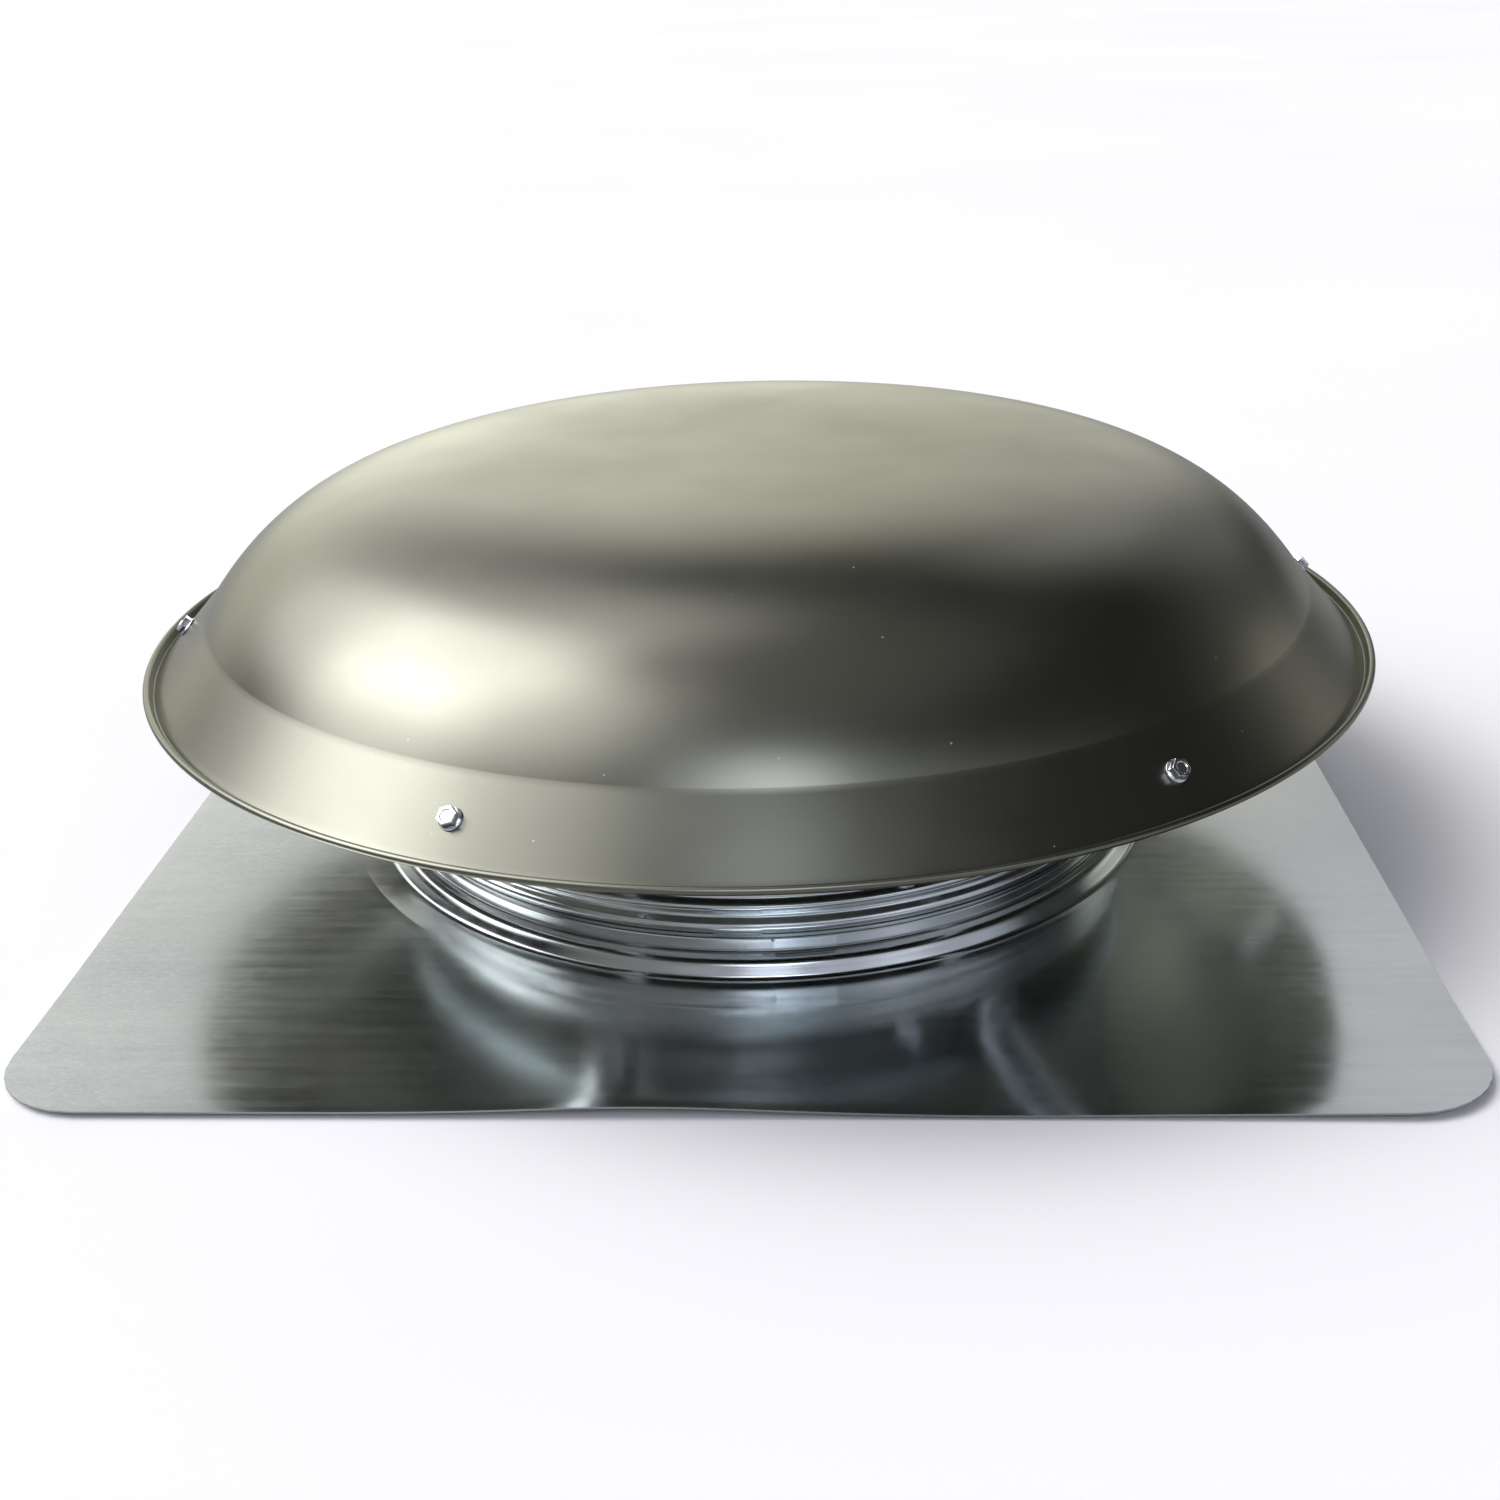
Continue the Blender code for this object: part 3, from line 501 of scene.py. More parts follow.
def hex_head_mesh(name, height):
    """A hex washer head on Z = 0 with a dished top, its height in millimetres."""
    washer = rounded(scaled([
        (0, 0.0), (FLANGE_RADIUS, 0.0, 0.15), (FLANGE_RADIUS, 0.7, 0.35), (FLANGE_RADIUS - 1.0, 1.3, 0.6),
        (0, 1.5),
    ]), steps=3)
    base = revolved("washer", washer, 48, closed=False)
    corner = HEAD_ACROSS * MM / math.sqrt(3)
    flat = corner * math.cos(math.pi / 6)
    sides = 48
    top = height * MM
    profile = [(1.0, 1.2 * MM), (1.0, top - 0.5 * MM), (0.97, top - 0.18 * MM), (0.86, top), (0.70, top)]
    profile += [(0.60, top - 0.28 * MM), (0.30, top - 0.42 * MM)]
    points, faces = [], []
    for share, z in profile:
        blend = min(1.0, max(0.0, (1.0 - share) / 0.14))
        for k in range(sides):
            a = math.tau * k / sides
            wrapped = (a + math.pi / 6) % (math.pi / 3) - math.pi / 6
            r = share * (flat / math.cos(wrapped) * (1 - blend) + flat * blend)
            points.append((r * math.cos(a), r * math.sin(a), z))
    centre = len(points)
    points.append((0, 0, top - 0.45 * MM))
    for i in range(len(profile) - 1):
        for k in range(sides):
            m = (k + 1) % sides
            faces.append([i * sides + k, i * sides + m, (i + 1) * sides + m, (i + 1) * sides + k])
    last = (len(profile) - 1) * sides
    faces += [[last + k, last + (k + 1) % sides, centre] for k in range(sides)]
    faces.append(list(range(sides))[::-1])
    return merged(name, [(base, STILL), (mesh_from("hex", points, faces), STILL)])


def threaded_shank(name, length):
    """A screw's shank below Z = 0, with ridges for its thread and a pointed end."""
    core = SHANK_RADIUS * 0.8 * MM
    path = [(0.0, 0.0), (SHANK_RADIUS * 0.85 * MM, 0.0)]
    for k in range(int((length - 2.0) / THREAD_PITCH)):
        z = -(0.6 + k * THREAD_PITCH)
        path += [(core, z * MM), (SHANK_RADIUS * MM, (z - THREAD_PITCH / 2) * MM)]
    path += [(core, -(length - 1.6) * MM), (0.0, -length * MM)]
    return revolved(name, path, 24, closed=False)


def make_hood_screws(finish):
    head = hex_head_mesh("head", 4.4)
    shank = threaded_shank("shank", 13)
    radius, height = skirt_point(SCREW_SHARE)
    for k, node in enumerate(numbered("hood_screw"), 1):
        seat = radial(azimuth_of(node), radius, height, skirt_slope()) @ Matrix.Translation((0, 0, 0.1 * MM))
        frame_at = seat @ about_z(math.radians(SCREW_TURN * k))
        name = f"hood_hex_screw_{k}"
        mesh = merged(name, [(head, frame_at), (shank, frame_at)])
        piece(name, mesh, finish, HOUSING, [node], angle=28)


# --- Flashing -----------------------------------------------------------------------------------
FLASHING_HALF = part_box("flashing")[1].x
FLASHING_CORNER = 40 * MM
FLASHING_SEGMENTS = 360
FLASHING_SPANS = 30
BEND_START = 0.19
BEND_REACH = 0.11
FRONT_LIFT = 1.9
FRONT_SWELLS = [(2.9, -0.035, 0.062), (-0.8, 0.105, 0.05)]
CORNER_LIFT = 1.6
BACK_LIFT = 1.2
SCRIBE_RADIUS = 216.0
SCRIBE_MIDDLE = 213.0
SCRIBE_HALF = 12.0
SCRIBE_HEIGHT = 0.16 * MM


def ramped(distance, start, reach, power):
    return max(0.0, min(1.0, (distance - start) / reach)) ** power


def edge_wave(x, y):
    """How far the sheet's edges stand off the roof, most along the front."""
    front = ramped(-y, BEND_START, BEND_REACH, 1.5)
    bow = FRONT_LIFT
    for height, middle, width in FRONT_SWELLS:
        bow += height * math.exp(-((x - middle) / width) ** 2)
    bow += CORNER_LIFT * max(0.0, (x - 0.15) / 0.15) ** 2
    back = ramped(y, BEND_START, BEND_REACH, 1.5)
    side = ramped(abs(x), 0.2, 0.1, 2)
    swell = 0.5 + 0.5 * noise.noise(Vector((x * 7, y * 7, 4.2)))
    return MM * (front * bow + back * BACK_LIFT * swell + side * (1 - front) * swell)


def square_radius(angle, half, corner):
    """Distance from the axis to a rounded square's edge."""
    c, s = abs(math.cos(angle)), abs(math.sin(angle))
    straight = half / max(c, s)
    inner = half - corner
    if min(c, s) * straight <= inner:
        return straight
    along = inner * (c + s)
    return along + math.sqrt(max(0.0, along * along - 2 * inner * inner + corner * corner))


def flashing_profile():
    """Top face from the upstand's lip down over the pressed ring and out to the flat sheet."""
    lip = [(189.9, 16.4), (190.05, 15.8, 0.3), (190.05, 10.4, 0.5), (191.0, 9.7, 0.5), (191.9, 10.1, 0.5)]
    ring = [
        (193.4, 9.5), (195.0, 9.0), (196.5, 8.0), (197.7, 6.3), (198.7, 4.2), (199.8, 2.2), (201.4, 1.1),
        (203.6, 0.8), (207.0, 0.8),
    ]
    flat = [(radius, 0.8) for radius in (SCRIBE_RADIUS - 0.5, SCRIBE_RADIUS, SCRIBE_RADIUS + 0.5, 222.0)]
    return rounded(scaled(lip + [tuple(p) for p in smooth_route(ring, 4)] + flat))


def scribe_rise(radius, angle):
    """A faint raised line around part of the throat, left by the forming tool."""
    if abs(radius - SCRIBE_RADIUS * MM) > 0.1 * MM:
        return 0.0
    away = abs(math.degrees(angle) - SCRIBE_MIDDLE) / SCRIBE_HALF
    return SCRIBE_HEIGHT * max(0.0, 1 - away * away)


def make_flashing(finish):
    profile = flashing_profile()
    under = offset_path(profile, -SHEET)
    under = [(r, max(0.0, z)) if r > 203 * MM else (r, z) for r, z in under]
    points = []
    inner = profile[-1][0]
    for side, path in ((1, profile), (0, under)):
        for k in range(FLASHING_SEGMENTS):
            a = math.tau * k / FLASHING_SEGMENTS
            edge = square_radius(a, FLASHING_HALF, FLASHING_CORNER)
            for r, z in path:
                points.append(Vector((r * math.cos(a), r * math.sin(a), z + side * scribe_rise(r, a))))
            for step in range(1, FLASHING_SPANS + 1):
                r = inner + (edge - inner) * (step / FLASHING_SPANS)
                x, y = r * math.cos(a), r * math.sin(a)
                points.append(Vector((x, y, edge_wave(x, y) + side * SHEET)))
    n = len(profile) + FLASHING_SPANS
    total = FLASHING_SEGMENTS * n
    faces = []
    for k in range(FLASHING_SEGMENTS):
        one, two = k * n, ((k + 1) % FLASHING_SEGMENTS) * n
        for i in range(n - 1):
            faces.append([one + i, one + i + 1, two + i + 1, two + i])
            faces.append([total + one + i, total + two + i, total + two + i + 1, total + one + i + 1])
        faces.append([one, two, total + two, total + one])
        faces.append([one + n - 1, total + one + n - 1, total + two + n - 1, two + n - 1])
    mesh = mesh_from("flashing_sheet", points, faces)
    piece("flashing_sheet", mesh, finish, HOUSING, ["flashing"], angle=40)


# --- Throat -------------------------------------------------------------------------------------
COLLAR_RADIUS = 188.9
COLLAR_FOOT = 2.0
COLLAR_BEADS = [(17.6, 27.6), (28.6, 36.8)]
BEAD_DEPTH = 2.9
CURL_RADIUS = 2.4
CURL_LEVEL = 66.0
COLLAR_SEGMENTS = 288
SEAM_LIFT = 0.05 * MM
SEAM_START = math.radians(-94.0)
SEAM_SWEEP = math.radians(6.4)
WELD_AZIMUTH = math.radians(-90.8)
WELD_HEIGHTS = (41.5, 50.0, 58.5)
UPSTAND_RADIUS = 190.1
NOTCH_AZIMUTH = math.radians(-86.1)
UPSTAND_SWEEP = math.radians(8.6)
NOTCH_HEIGHT = 15.6 * MM
UPRIGHTS = 132
HOOPS = 14
WIRE = 0.42 * MM
WIRE_SIDES = 5
SCREEN_INSET = 0.9 * MM


def collar_path():
    """Outer face of the rolled throat band, bottom to top."""
    path = [(COLLAR_RADIUS, COLLAR_FOOT), (COLLAR_RADIUS, 15.0)]
    for low, high in COLLAR_BEADS:
        for k in range(15):
            t = k / 14
            path.append((COLLAR_RADIUS + BEAD_DEPTH * math.sin(math.pi * t) ** 1.5, low + (high - low) * t))
    path += [(COLLAR_RADIUS, 40.0), (COLLAR_RADIUS, 63.0)]
    for k in range(9):
        a = math.pi * (1 - 1.15 * k / 8)
        radius = COLLAR_RADIUS + CURL_RADIUS + CURL_RADIUS * math.cos(a)
        path.append((radius, CURL_LEVEL + CURL_RADIUS * math.sin(a)))
    return scaled(path)


def make_collar(finish, weld_finish):
    section = sheet_loop(collar_path(), SHEET)
    band = revolved("throat_band", section, COLLAR_SEGMENTS)
    piece("throat_band", band, finish, HOUSING, ["throat_collar"], angle=45)
    seam_path = [(r + SEAM_LIFT, z) for r, z in collar_path() if 16.5 * MM < z < 64 * MM]
    seam = sheet_loop(seam_path, -0.55 * MM)
    mesh = revolved("throat_lap_seam", seam, 14, start=SEAM_START, sweep=SEAM_SWEEP)
    piece("throat_lap_seam", mesh, finish, HOUSING, angle=45)
    dome = scaled([(0, 0.25), (0.9, 0.22), (1.6, 0.05), (1.8, -0.3), (0, -0.3)])
    dot = revolved("weld", dome, 20, closed=False)
    seats = [radial(WELD_AZIMUTH, (COLLAR_RADIUS + 0.65) * MM, height * MM) for height in WELD_HEIGHTS]
    mesh = merged("throat_seam_welds", [(dot, seat) for seat in seats])
    piece("throat_seam_welds", mesh, weld_finish, HOUSING)
    lap = sheet_loop(scaled([(UPSTAND_RADIUS, 10.9), (UPSTAND_RADIUS, 16.2)]), -0.35 * MM)
    lap_seam = revolved("upstand_lap", lap, 24, start=NOTCH_AZIMUTH, sweep=UPSTAND_SWEEP)
    dome = scaled([(0, 0.6), (0.5, 0.5), (0.9, 0.1), (1.0, -0.2), (0, -0.2)])
    pit = revolved("pit", dome, 16, closed=False)
    notch = radial(NOTCH_AZIMUTH, (UPSTAND_RADIUS + 0.1) * MM, NOTCH_HEIGHT)
    mesh = merged("upstand_lap_seam", [(lap_seam, STILL), (pit, notch)])
    piece("upstand_lap_seam", mesh, finish, HOUSING, angle=45)


def make_screen(finish):
    """Woven wire screen: upright wires with hoops between the throat and the hood."""
    low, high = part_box("bird_screen")
    radius = high.x - SCREEN_INSET
    rise = high.z - low.z
    store = ([], [])

    def on_screen(k, weave, z):
        a = math.tau * k / UPRIGHTS
        return Vector(((radius + weave) * math.cos(a), (radius + weave) * math.sin(a), z))

    for k in range(UPRIGHTS):
        route = []
        for step in range(HOOPS * 2 + 1):
            inwards = (k + step // 2) % 2 == 0
            weave = 0.0 if step % 2 == 0 else -WIRE if inwards else WIRE
            route.append(on_screen(k, weave, low.z + rise * step / (HOOPS * 2)))
        add_tube(store, route, WIRE, WIRE_SIDES)
    for h in range(HOOPS):
        z = low.z + rise * (h + 0.5) / HOOPS
        route = [on_screen(k, -WIRE if (k + h) % 2 else WIRE, z) for k in range(UPRIGHTS)]
        add_tube(store, route, WIRE, WIRE_SIDES, closed=True)
    mesh = mesh_from("bird_screen_mesh", *store)
    piece("bird_screen_mesh", mesh, finish, HOUSING, ["bird_screen"], angle=60)


# --- CAD nodes that keep their shape, and the hood's brackets -----------------------------------
RIVET_SEAT = 191.1 * MM


def dress(node, finish, bevel, angle=30.0):
    """A CAD node with its finish, and its edges softened."""
    made = NODES[node]
    made.data.materials.clear()
    made.data.materials.append(finish)
    for polygon in made.data.polygons:
        polygon.use_smooth = True
    weld = made.modifiers.new("weld", "WELD")
    weld.merge_threshold = 0.01 * MM
    softened = made.modifiers.new("bevel", "BEVEL")
    softened.width = bevel
    softened.segments = 2
    softened.limit_method = "ANGLE"
    softened.angle_limit = math.radians(angle)
    softened.harden_normals = False


def make_hood_brackets(sheet_finish, rivet_finish):
    for node in numbered("hood_bracket"):
        dress(node, sheet_finish, 0.25 * MM)
    head = rounded(scaled([
        (0, 1.4), (1.6, 1.3, 0.8), (2.9, 0.6, 0.5), (3.2, 0.0, 0.1), (1.6, 0.0), (1.6, -4.4), (0, -4.4),
    ]))
    rivet = revolved("rivet", head, 28, closed=False)
    for k, node in enumerate(numbered("bracket_rivet"), 1):
        name = f"bracket_pop_rivet_{k}"
        seat = radial(azimuth_of(node), RIVET_SEAT, centre_of(node).z)
        piece(name, merged(name, [(rivet, seat)]), rivet_finish, HOUSING, [node])


# --- Motor bracket and motor --------------------------------------------------------------------
MOTOR_RADIUS = 45.0
BELL_FLUTES = 24
FLUTE_DEPTH = 0.9 * MM
FLUTE_INNER = 17 * MM
FLUTE_OUTER = 40 * MM
TIE_RADIUS = 38 * MM
TIE_LEVEL = 122.6 * MM
COIL_INNER = 29 * MM
COIL_STRANDS = 72
STRAND_DEPTH = 0.35 * MM


def make_motor_bracket(sheet_finish, screw_finish, rubber_finish):
    dress("motor_bracket", sheet_finish, 0.3 * MM)
    head = hex_head_mesh("arm_head", 5.0)
    shank = threaded_shank("arm_shank", 8)
    for k, node in enumerate(numbered("arm_screw"), 1):
        seat = radial(azimuth_of(node), (COLLAR_RADIUS + 0.3) * MM, centre_of(node).z) @ about_z(0.3 * k)
        name = f"arm_hex_screw_{k}"
        mesh = merged(name, [(head, seat), (shank, seat)])
        piece(name, mesh, screw_finish, HOUSING, [node], angle=28)
    for node in numbered("motor_isolator"):
        low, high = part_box(node)
        half = (high.z - low.z) / 2
        section = [
            (2.9 * MM, -half), (8.0 * MM, -half, 0.8 * MM), (6.4 * MM, 0, 1.0 * MM),
            (8.0 * MM, half, 0.8 * MM), (2.9 * MM, half),
        ]
        bush = revolved("bush", rounded(section), 40)
        name = node.replace("isolator", "bush")
        mesh = merged(name, [(bush, Matrix.Translation(centre_of(node)))])
        piece(name, mesh, rubber_finish, HOUSING, [node])
    for node in numbered("motor_screw"):
        low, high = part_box(node)
        base, top = low.z / MM, high.z / MM
        pan = [
            (0, base + 1.4), (0.8, base + 1.4), (1.2, base, 0.1), (3.4, base, 0.8), (4.5, base + 1.6, 0.6),
            (4.5, base + 2.5), (2.5, base + 2.5), (2.5, top), (0, top),
        ]
        screw = revolved("pan", rounded(scaled(pan)), 36, closed=False)
        name = node.replace("screw", "pan_screw")
        centre = centre_of(node)
        mesh = merged(name, [(screw, Matrix.Translation((centre.x, centre.y, 0)))])
        piece(name, mesh, screw_finish, HOUSING, [node])


def flute(point):
    """Presses cooling fins into a turned wall between two radii."""
    if FLUTE_INNER < point.xy.length < FLUTE_OUTER:
        a = math.atan2(point.y, point.x)
        point.z -= FLUTE_DEPTH * (0.5 + 0.5 * math.tanh(4 * math.cos(BELL_FLUTES * a)))
    return point


def make_motor(finishes):
    lower = rounded(scaled([
        (11.2, 48.0), (15.0, 48.0, 0.6), (15.0, 58.4, 1.0), (24, 58.4), (24.5, 57.9), (33, 57.9),
        (33.5, 58.4), (43.8, 58.4, 0.8), (MOTOR_RADIUS, 59.6, 0.6), (MOTOR_RADIUS, 66.0), (43.6, 66.0),
        (43.6, 62.4), (7.0, 62.4), (7.0, 55.3), (11.2, 55.3),
    ]))
    name = "motor_drive_bell"
    piece(name, revolved(name, lower, 128), finishes["aluminium"], HOUSING, ["motor_lower_bell"])
    can = rounded(scaled([
        (43.6, 66.3), (MOTOR_RADIUS, 66.3, 0.3), (MOTOR_RADIUS, 69.0), (44.6, 69.4), (44.6, 70.6),
        (MOTOR_RADIUS, 71.0), (MOTOR_RADIUS, 109.2), (44.6, 109.6), (44.6, 110.8), (MOTOR_RADIUS, 111.2),
        (MOTOR_RADIUS, 114.0, 0.3), (43.6, 114.0),
    ]))
    name = "motor_can_shell"
    piece(name, revolved(name, can, 128), finishes["motor"], HOUSING, ["motor_can"])
    upper = rounded(scaled([
        (0, 124.0), (10, 124.0), (12, 123.4, 1.0), (16, 123.4), (33, 123.0, 3.0), (43, 121.6, 2.5),
        (MOTOR_RADIUS, 118.5, 1.0), (MOTOR_RADIUS, 114.3), (43.6, 114.3), (43.6, 118.0), (14.0, 119.0),
        (14.0, 109.5), (11.2, 109.5), (11.2, 117.0), (0, 117.0),
    ]))
    name = "motor_fan_bell"
    bell = revolved(name, upper, 240, flute, closed=False)
    piece(name, bell, finishes["aluminium"], HOUSING, ["motor_upper_bell"], angle=40)
    section = rounded(scaled([(0, 2.2), (2.6, 2.2, 0.5), (3.2, 1.2, 0.4), (3.2, -0.4), (0, -0.4)]))
    nut = revolved("nut", section, 6, closed=False)
    seat = Matrix.Translation((TIE_RADIUS, 0, TIE_LEVEL))
    ties = [(nut, about_z(ARM_AZIMUTH + math.radians(45 + 90 * k)) @ seat) for k in range(4)]
    piece("motor_tie_nuts", merged("motor_tie_nuts", ties), finishes["zinc"], HOUSING)


def toroid(name, low, high, outer):
    """A wound coil: a rounded ring fluted by its strands."""
    middle, half = (COIL_INNER + outer) / 2, (outer - COIL_INNER) / 2
    level, rise = (low + high) / 2, (high - low) / 2
    section = []
    for k in range(20):
        a = math.tau * k / 20
        section.append((
            middle + half * math.copysign(abs(math.cos(a)) ** 0.7, math.cos(a)),
            level + rise * math.copysign(abs(math.sin(a)) ** 0.7, math.sin(a)),
        ))

    def strand(point):
        a = math.atan2(point.y, point.x)
        shrink = STRAND_DEPTH * (0.5 + 0.5 * math.cos(COIL_STRANDS * a))
        radius = point.xy.length
        toward = Vector((middle * point.x / radius, middle * point.y / radius, level)) - point
        return point + toward.normalized() * shrink
    return revolved(name, section, 360, strand)


def make_motor_inside(finishes):
    for node, finish in (("stator_core", "laminations"), ("driver_board", "board")):
        dress(node, finishes[finish], 0.2 * MM)
    for node in ("stator_winding_lower", "stator_winding_upper"):
        low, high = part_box(node)
        name = node.replace("winding", "coil")
        mesh = toroid(name, low.z, high.z, high.x)
        piece(name, mesh, finishes["copper"], HOUSING, [node], angle=70)
    dress("rotor_magnet", finishes["magnet"], 0.4 * MM)
    for node in ("lower_bearing_outer", "upper_bearing_outer", "lower_bearing_inner", "upper_bearing_inner"):
        dress(node, finishes["steel"], 0.3 * MM, angle=50)


# --- Motor lead ---------------------------------------------------------------------------------
LEAD_RADIUS = 2.45 * MM
LEAD_SPACE = 2.5 * MM
LEAD_ABOVE_SOCKET = 2.7 * MM


def make_lead(finishes):
    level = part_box("dc_socket")[0].z + LEAD_ABOVE_SOCKET
    exit_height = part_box("motor_lead")[1].z - LEAD_SPACE
    route = [
        (39.5 * MM, 0, exit_height), (46 * MM, 0, exit_height), (53 * MM, 0, exit_height - 0.8 * MM),
        (58.5 * MM, 0, exit_height - 5.5 * MM), (60.5 * MM, 0, exit_height - 14 * MM),
        (60.8 * MM, 0, 82 * MM), (61.2 * MM, 0, 70 * MM), (64.5 * MM, 0, 60.5 * MM), (72 * MM, 0, 55.6 * MM),
        (82 * MM, 0, level), (110 * MM, 0, level), (145.2 * MM, 0, level),
    ]
    store = ([], [])
    add_tube(store, [about_z(ARM_AZIMUTH) @ p for p in smooth_route(route)], LEAD_RADIUS, 20)
    mesh = mesh_from("motor_lead_jacket", *store)
    piece("motor_lead_jacket", mesh, finishes["plastic"], HOUSING, ["motor_lead"], angle=60)
    grommet = rounded(scaled([
        (2.9, -1.6), (4.0, -1.6), (4.0, 0.6), (6.0, 0.6, 0.6), (6.0, 2.6, 0.9), (4.1, 4.8, 0.5), (2.9, 4.8),
    ]))
    seat = radial(ARM_AZIMUTH, MOTOR_RADIUS * MM, exit_height)
    mesh = merged("lead_grommet_ring", [(revolved("grommet", grommet, 40), seat)])
    piece("lead_grommet_ring", mesh, finishes["rubber"], HOUSING, ["lead_grommet"])
    for node in numbered("lead_clip"):
        dress(node, finishes["zinc"], 0.15 * MM, angle=40)
    dress("dc_socket", finishes["plastic"], 0.5 * MM)


# --- Fan ----------------------------------------------------------------------------------------
BLADES = len(numbered("fan_blade"))
BLADE_ROOT = 46 * MM
BLADE_TIP = 172 * MM
BLADE_CAMBER = 4 * MM
BLADE_THICK = 1.2 * MM
BLADE_CORNER = 9 * MM
ROOT_PITCH = 28
TIP_PITCH = 20
ROOT_HALF_CHORD = 24 * MM
CHORD_GROWTH = 22 * MM
TIP_TAPER = 10 * MM
RIB_DEPTH = 0.5 * MM
RIB_PLACE = -0.05
RIB_WIDTH = 0.10
FAN_HEIGHT = 28 * MM
HUB_DROP = 2.5 * MM
HUB_RADIUS = 30 * MM
ARM_START = 20 * MM
ARM_REACH = 66 * MM
ARM_HALF_WIDTH = 8 * MM
ARM_HALF_THICK = 0.8 * MM
RIVET_PLACES = ((56 * MM, 0.0), (68 * MM, 0.12), (80 * MM, 0.0))


def blade_share(radius):
    return (radius - BLADE_ROOT) / (BLADE_TIP - BLADE_ROOT)


def blade_pitch(radius):
    return math.radians(ROOT_PITCH + (TIP_PITCH - ROOT_PITCH) * max(0.0, blade_share(radius)))


def blade_half_chord(radius):
    share = min(1.0, max(0.0, blade_share(radius)))
    growth = math.sin(math.pi / 2 * min(1.0, 1.5 * share))
    return ROOT_HALF_CHORD + CHORD_GROWTH * growth - TIP_TAPER * share ** 6


def blade_point(radius, across, offset):
    pitch = blade_pitch(radius)
    along = across * blade_half_chord(radius)
    rib = math.exp(-((across - RIB_PLACE) / RIB_WIDTH) ** 2) * min(1.0, 8 * blade_share(radius) ** 2)
    rise = BLADE_CAMBER * (1 - across * across) + offset - RIB_DEPTH * rib
    y = along * math.cos(pitch) - rise * math.sin(pitch)
    z = along * math.sin(pitch) + rise * math.cos(pitch)
    return Vector((math.sqrt(radius * radius - y * y), y, FAN_HEIGHT + z))


def blade_mesh():
    """A cambered blade with rounded corners, a pressed rib and a thin edge."""
    stations, lanes = 40, 26
    points = []
    for side in (-1, 1):
        for s in range(stations + 1):
            u = s / stations
            for v in range(lanes + 1):
                w = 2 * v / lanes - 1
                corner = abs(w) ** 6
                radius = BLADE_ROOT + 1 * MM * corner + (BLADE_TIP - BLADE_ROOT - BLADE_CORNER * corner) * u
                edge = min(1.0, 14 * min(u, 1 - u) + 0.35, 9 * (1 - abs(w)) + 0.35)
                points.append(blade_point(radius, w, side * BLADE_THICK / 2 * edge))
    return closed_sheet("blade", points, stations, lanes)


def hub_arm_point(radius, across, offset):
    """A point of an arm that is flat at the hub and takes the blade's pitch by its root."""
    share = min(1.0, max(0.0, (radius - HUB_RADIUS) / (BLADE_ROOT - HUB_RADIUS)))
    share = share * share * (3 - 2 * share)
    pitch = blade_pitch(radius) * share
    along = across * ARM_HALF_WIDTH
    rise = BLADE_CAMBER - HUB_DROP + offset
    y = along * math.cos(pitch) - rise * math.sin(pitch) * share
    z = along * math.sin(pitch) + rise * (1 + (math.cos(pitch) - 1) * share)
    return Vector((radius, y, FAN_HEIGHT + z))


def hub_arm_mesh():
    stations, lanes = 26, 6
    points = []
    for side in (-1, 1):
        for s in range(stations + 1):
            for v in range(lanes + 1):
                w = 2 * v / lanes - 1
                reach = ARM_REACH - 3.5 * MM * abs(w) ** 3
                points.append(hub_arm_point(ARM_START + reach * (s / stations), w, side * ARM_HALF_THICK))
    return closed_sheet("hub_arm", points, stations, lanes)


def make_fan(finishes):
    blade = blade_mesh()
    turns = [math.tau * k / BLADES for k in range(BLADES)]
    for node, turn in zip(numbered("fan_blade"), turns):
        name = node.replace("blade", "airfoil")
        mesh = merged(name, [(blade, about_z(turn))])
        piece(name, mesh, finishes["blade"], FAN, [node], angle=60)
    disc = revolved("disc", rounded(scaled([
        (11, 28.3), (30.0, 28.3, 0.5), (30.0, 30.7, 0.5), (26, 30.7, 1), (24, 31.5, 1), (17, 31.5, 1),
        (15, 30.7, 1), (11, 30.7),
    ])), 96)
    boss = revolved("boss", rounded(scaled([
        (4.1, 15.0), (11.5, 15.0, 0.8), (12.5, 16.5, 0.8), (12.5, 43.0, 0.8), (11.5, 44.0, 0.5), (4.1, 44.0),
    ])), 64)
    arm = hub_arm_mesh()
    parts = [(disc, STILL), (boss, STILL)] + [(arm, about_z(turn)) for turn in turns]
    piece("fan_spider", merged("fan_spider", parts), finishes["spider"], FAN, ["fan_hub"], angle=40)
    dome = revolved("dome", rounded(scaled([
        (0, 1.3), (1.8, 1.2, 0.8), (3.0, 0.5, 0.4), (3.2, 0, 0.1), (1.6, 0), (1.6, -2.6), (2.6, -2.8),
        (0, -3.4),
    ])), 24, closed=False)
    rivets = []
    for turn in turns:
        for radius, across in RIVET_PLACES:
            seat = Matrix.Translation(blade_point(radius, across, BLADE_THICK / 2))
            rivets.append((dome, about_z(turn) @ seat @ Matrix.Rotation(blade_pitch(radius), 4, "X")))
    piece("fan_blade_rivets", merged("fan_blade_rivets", rivets), finishes["steel"], FAN)
    section = scaled([(0, 13.0), (3.2, 13.0), (4.0, 13.8), (4.0, 116.5), (0, 116.5)])
    shaft = revolved("drive_shaft", section, 64, closed=False)
    piece("drive_shaft", shaft, finishes["steel"], FAN, ["motor_shaft"])
    dress("hub_set_screw", finishes["motor"], 0.2 * MM)


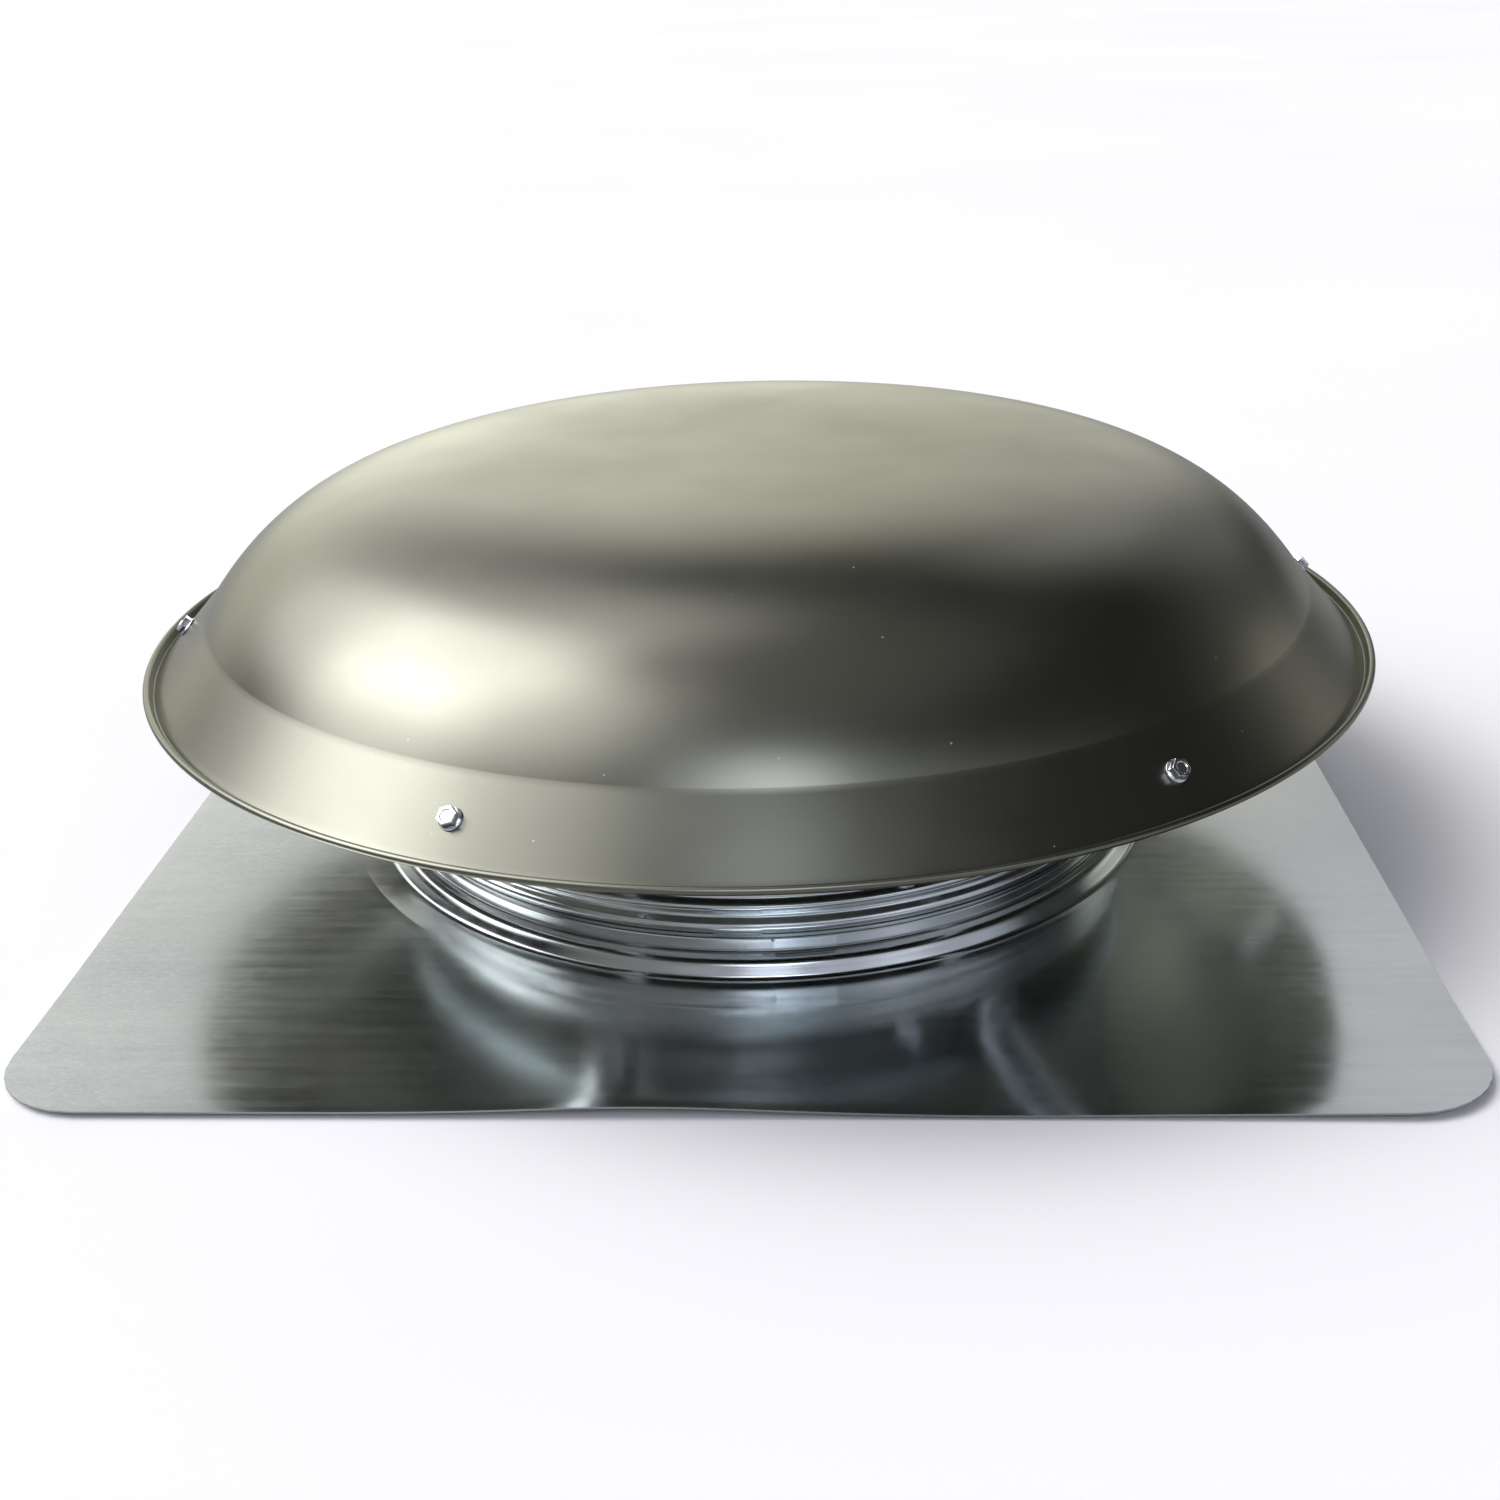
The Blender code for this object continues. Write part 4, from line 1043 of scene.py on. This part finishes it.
# --- Studio -------------------------------------------------------------------------------------
CAMERA_PLACE = (0.04806, -0.92033, 0.42471)
CAMERA_TURN = 2.879
CAMERA_TILT = 66.604
CAMERA_ROLL = -1.517
CAMERA_LENS = 44.82
CAMERA_SHIFT = -0.0098
FLOOR_HALF = 40.0
FLOOR_LEVEL = -0.6 * MM
MIRRORED_LOSS = 0.6


def direction(azimuth, elevation):
    """Unit vector; azimuth in degrees from +Y towards +X."""
    a, e = math.radians(azimuth), math.radians(elevation)
    return Vector((math.sin(a) * math.cos(e), math.cos(a) * math.cos(e), math.sin(e)))


WARM = (1.06, 1.05, 0.90)
NEUTRAL = (1.0, 0.985, 1.02)
COOL = (0.92, 0.96, 1.12)

# Each light of the studio: azimuth and elevation, where it starts to fade and where it ends, all in
# degrees, then its strength and tint.
BACKDROP = [
    (0, 5, 4, 27, 0.95, WARM), (-35, 5, 5, 30, 1.0, WARM), (50, 14, 4, 22, 0.18, NEUTRAL),
    (-12, 2, 6, 22, 0.7, WARM), (60, 3, 3, 18, 0.5, WARM),
    (-22, 24, 4, 22, 0.45, NEUTRAL), (22, 24, 4, 22, 0.38, NEUTRAL), (19, 31, 2, 9, 0.35, NEUTRAL),
]
LEFT_SOFT_BOX = [
    (-60, 33, 4, 23, 2.3, NEUTRAL), (-92, 32, 4, 23, 3.5, NEUTRAL), (-75, 52, 4, 24, 3.4, NEUTRAL),
    (-110, 55, 4, 26, 2.1, NEUTRAL), (-40, 55, 4, 26, 1.3, NEUTRAL), (-82, 38, 3, 14, 1.4, NEUTRAL),
]
FRONT_WINDOW = [
    (180, 12, 6, 30, 0.22, COOL), (176, 22, 2, 10, 1.0, COOL), (150, 30, 6, 26, 0.55, COOL),
    (125, 15, 6, 28, 0.45, COOL), (176, 44, 4, 15, 4.0, COOL), (-150, 28, 8, 36, 0.24, NEUTRAL),
]
FILL = [(0, 88, 10, 40, 0.25, NEUTRAL), (90, 25, 10, 45, 0.04, NEUTRAL)]


def make_world():
    """A pale studio: a backdrop, a large soft box on the left and a cooler window behind the camera."""
    world = bpy.data.worlds.new("studio")
    bpy.context.scene.world = world
    world.use_nodes = True
    g = Graph(world.node_tree)
    ray = g.add("TexCoord").outputs["Generated"]
    total = (0.0, 0.0, 0.0)
    for azimuth, elevation, inner, outer, strength, tint in BACKDROP + LEFT_SOFT_BOX + FRONT_WINDOW + FILL:
        toward = {0: ray, 1: direction(azimuth, elevation)}
        dot = g.add("VectorMath", toward, operation="DOT_PRODUCT").outputs["Value"]
        glow = g.ramp(dot, math.cos(math.radians(outer)), math.cos(math.radians(inner)), 0.0, strength)
        light = g.add("VectorMath", {0: tint, "Scale": glow}, operation="SCALE").outputs[0]
        total = g.add("VectorMath", {0: total, 1: light}, operation="ADD").outputs[0]
    lit = g.add("Background", {"Color": total, "Strength": 1.0}).outputs[0]
    plain = g.add("Background", {"Color": (1, 1, 1, 1), "Strength": 1.0}).outputs[0]
    seen = g.add("LightPath").outputs["Is Camera Ray"]
    both = g.add("MixShader", {0: seen, 1: lit, 2: plain}).outputs[0]
    g.add("OutputWorld", {"Surface": both})


def make_floor():
    """A pale floor that looks darker in the part's own reflections."""
    made, g = new_graph("studio_floor")
    tone = g.ramp(g.noise(0.8), 0.3, 0.7, 0.91, 0.94)
    mirrored = g.add("LightPath").outputs["Is Glossy Ray"]
    tone = g.math("MULTIPLY", tone, g.math("SUBTRACT", 1.0, g.math("MULTIPLY", mirrored, MIRRORED_LOSS)))
    colour = g.add("CombineColor", {0: tone, 1: tone, 2: tone}).outputs[0]
    g.surface(colour, 0.9, 0.0)
    corners = [(x * FLOOR_HALF, y * FLOOR_HALF, 0) for x, y in ((-1, -1), (1, -1), (1, 1), (-1, 1))]
    mesh = mesh_from("studio_floor", corners, [[0, 1, 2, 3]])
    mesh.materials.append(made)
    floor = bpy.data.objects.new("studio_floor", mesh)
    floor.location.z = FLOOR_LEVEL
    bpy.context.scene.collection.objects.link(floor)


def make_camera():
    camera = bpy.data.cameras.new("camera")
    camera.sensor_width = 36.0
    camera.lens = CAMERA_LENS
    camera.shift_x = CAMERA_SHIFT
    camera.clip_start = 0.01
    made = bpy.data.objects.new("camera", camera)
    bpy.context.scene.collection.objects.link(made)
    turn = Matrix.Rotation(math.radians(CAMERA_TURN), 4, "Z")
    tilt = Matrix.Rotation(math.radians(CAMERA_TILT), 4, "X")
    roll = Matrix.Rotation(math.radians(CAMERA_ROLL), 4, "Z")
    made.matrix_world = Matrix.Translation(CAMERA_PLACE) @ turn @ tilt @ roll
    bpy.context.scene.camera = made
    bpy.context.scene.view_settings.view_transform = "Standard"


def make_finishes():
    return {
        "hood": hood_paint(),
        "plate": galvanised("flashing_zinc", 0.68, 0.15, 0, 0.4, 0.07),
        "band": galvanised("throat_zinc", 0.80, 0.15, 2, 0.3),
        "bracket": galvanised("bracket_zinc", 0.70, 0.21, 2, 0.4),
        "wire": galvanised("wire_zinc", 0.66, 0.34, 2, 0.2),
        "zinc": plated("bright_zinc", (0.86, 0.87, 0.90), 0.14),
        "aluminium": turned_metal("mill_aluminium", (0.80, 0.81, 0.82), 0.36),
        "spider": galvanised("spider_zinc", 0.66, 0.34, 0, 0.15),
        "blade": galvanised("blade_aluminium", 0.82, 0.34, 0, 0.08),
        "steel": turned_metal("bright_steel", (0.66, 0.66, 0.67), 0.20),
        "motor": moulded("motor_enamel", (0.022, 0.022, 0.024), 0.38, 500.0),
        "laminations": striped_metal(
            "lamination_stack", (0.42, 0.43, 0.45), (0.16, 0.16, 0.17), 2.0 * MM, 0.45,
        ),
        "copper": moulded("winding_copper", (0.52, 0.20, 0.08), 0.36, 900.0, 1.0),
        "magnet": moulded("ferrite", (0.07, 0.07, 0.08), 0.6, 1200.0),
        "board": moulded("solder_mask", (0.02, 0.16, 0.06), 0.4, 900.0),
        "rubber": moulded("isolator_rubber", (0.018, 0.018, 0.018), 0.75, 1500.0),
        "plastic": moulded("black_plastic", (0.025, 0.025, 0.026), 0.45, 1600.0),
    }


def main():
    make_camera()
    make_world()
    make_floor()
    finishes = make_finishes()
    make_hood(finishes["hood"])
    make_hood_screws(finishes["zinc"])
    make_flashing(finishes["plate"])
    make_collar(finishes["band"], finishes["bracket"])
    make_screen(finishes["wire"])
    make_hood_brackets(finishes["bracket"], finishes["steel"])
    make_motor_bracket(finishes["bracket"], finishes["zinc"], finishes["rubber"])
    make_motor(finishes)
    make_motor_inside(finishes)
    make_lead(finishes)
    make_fan(finishes)


main()
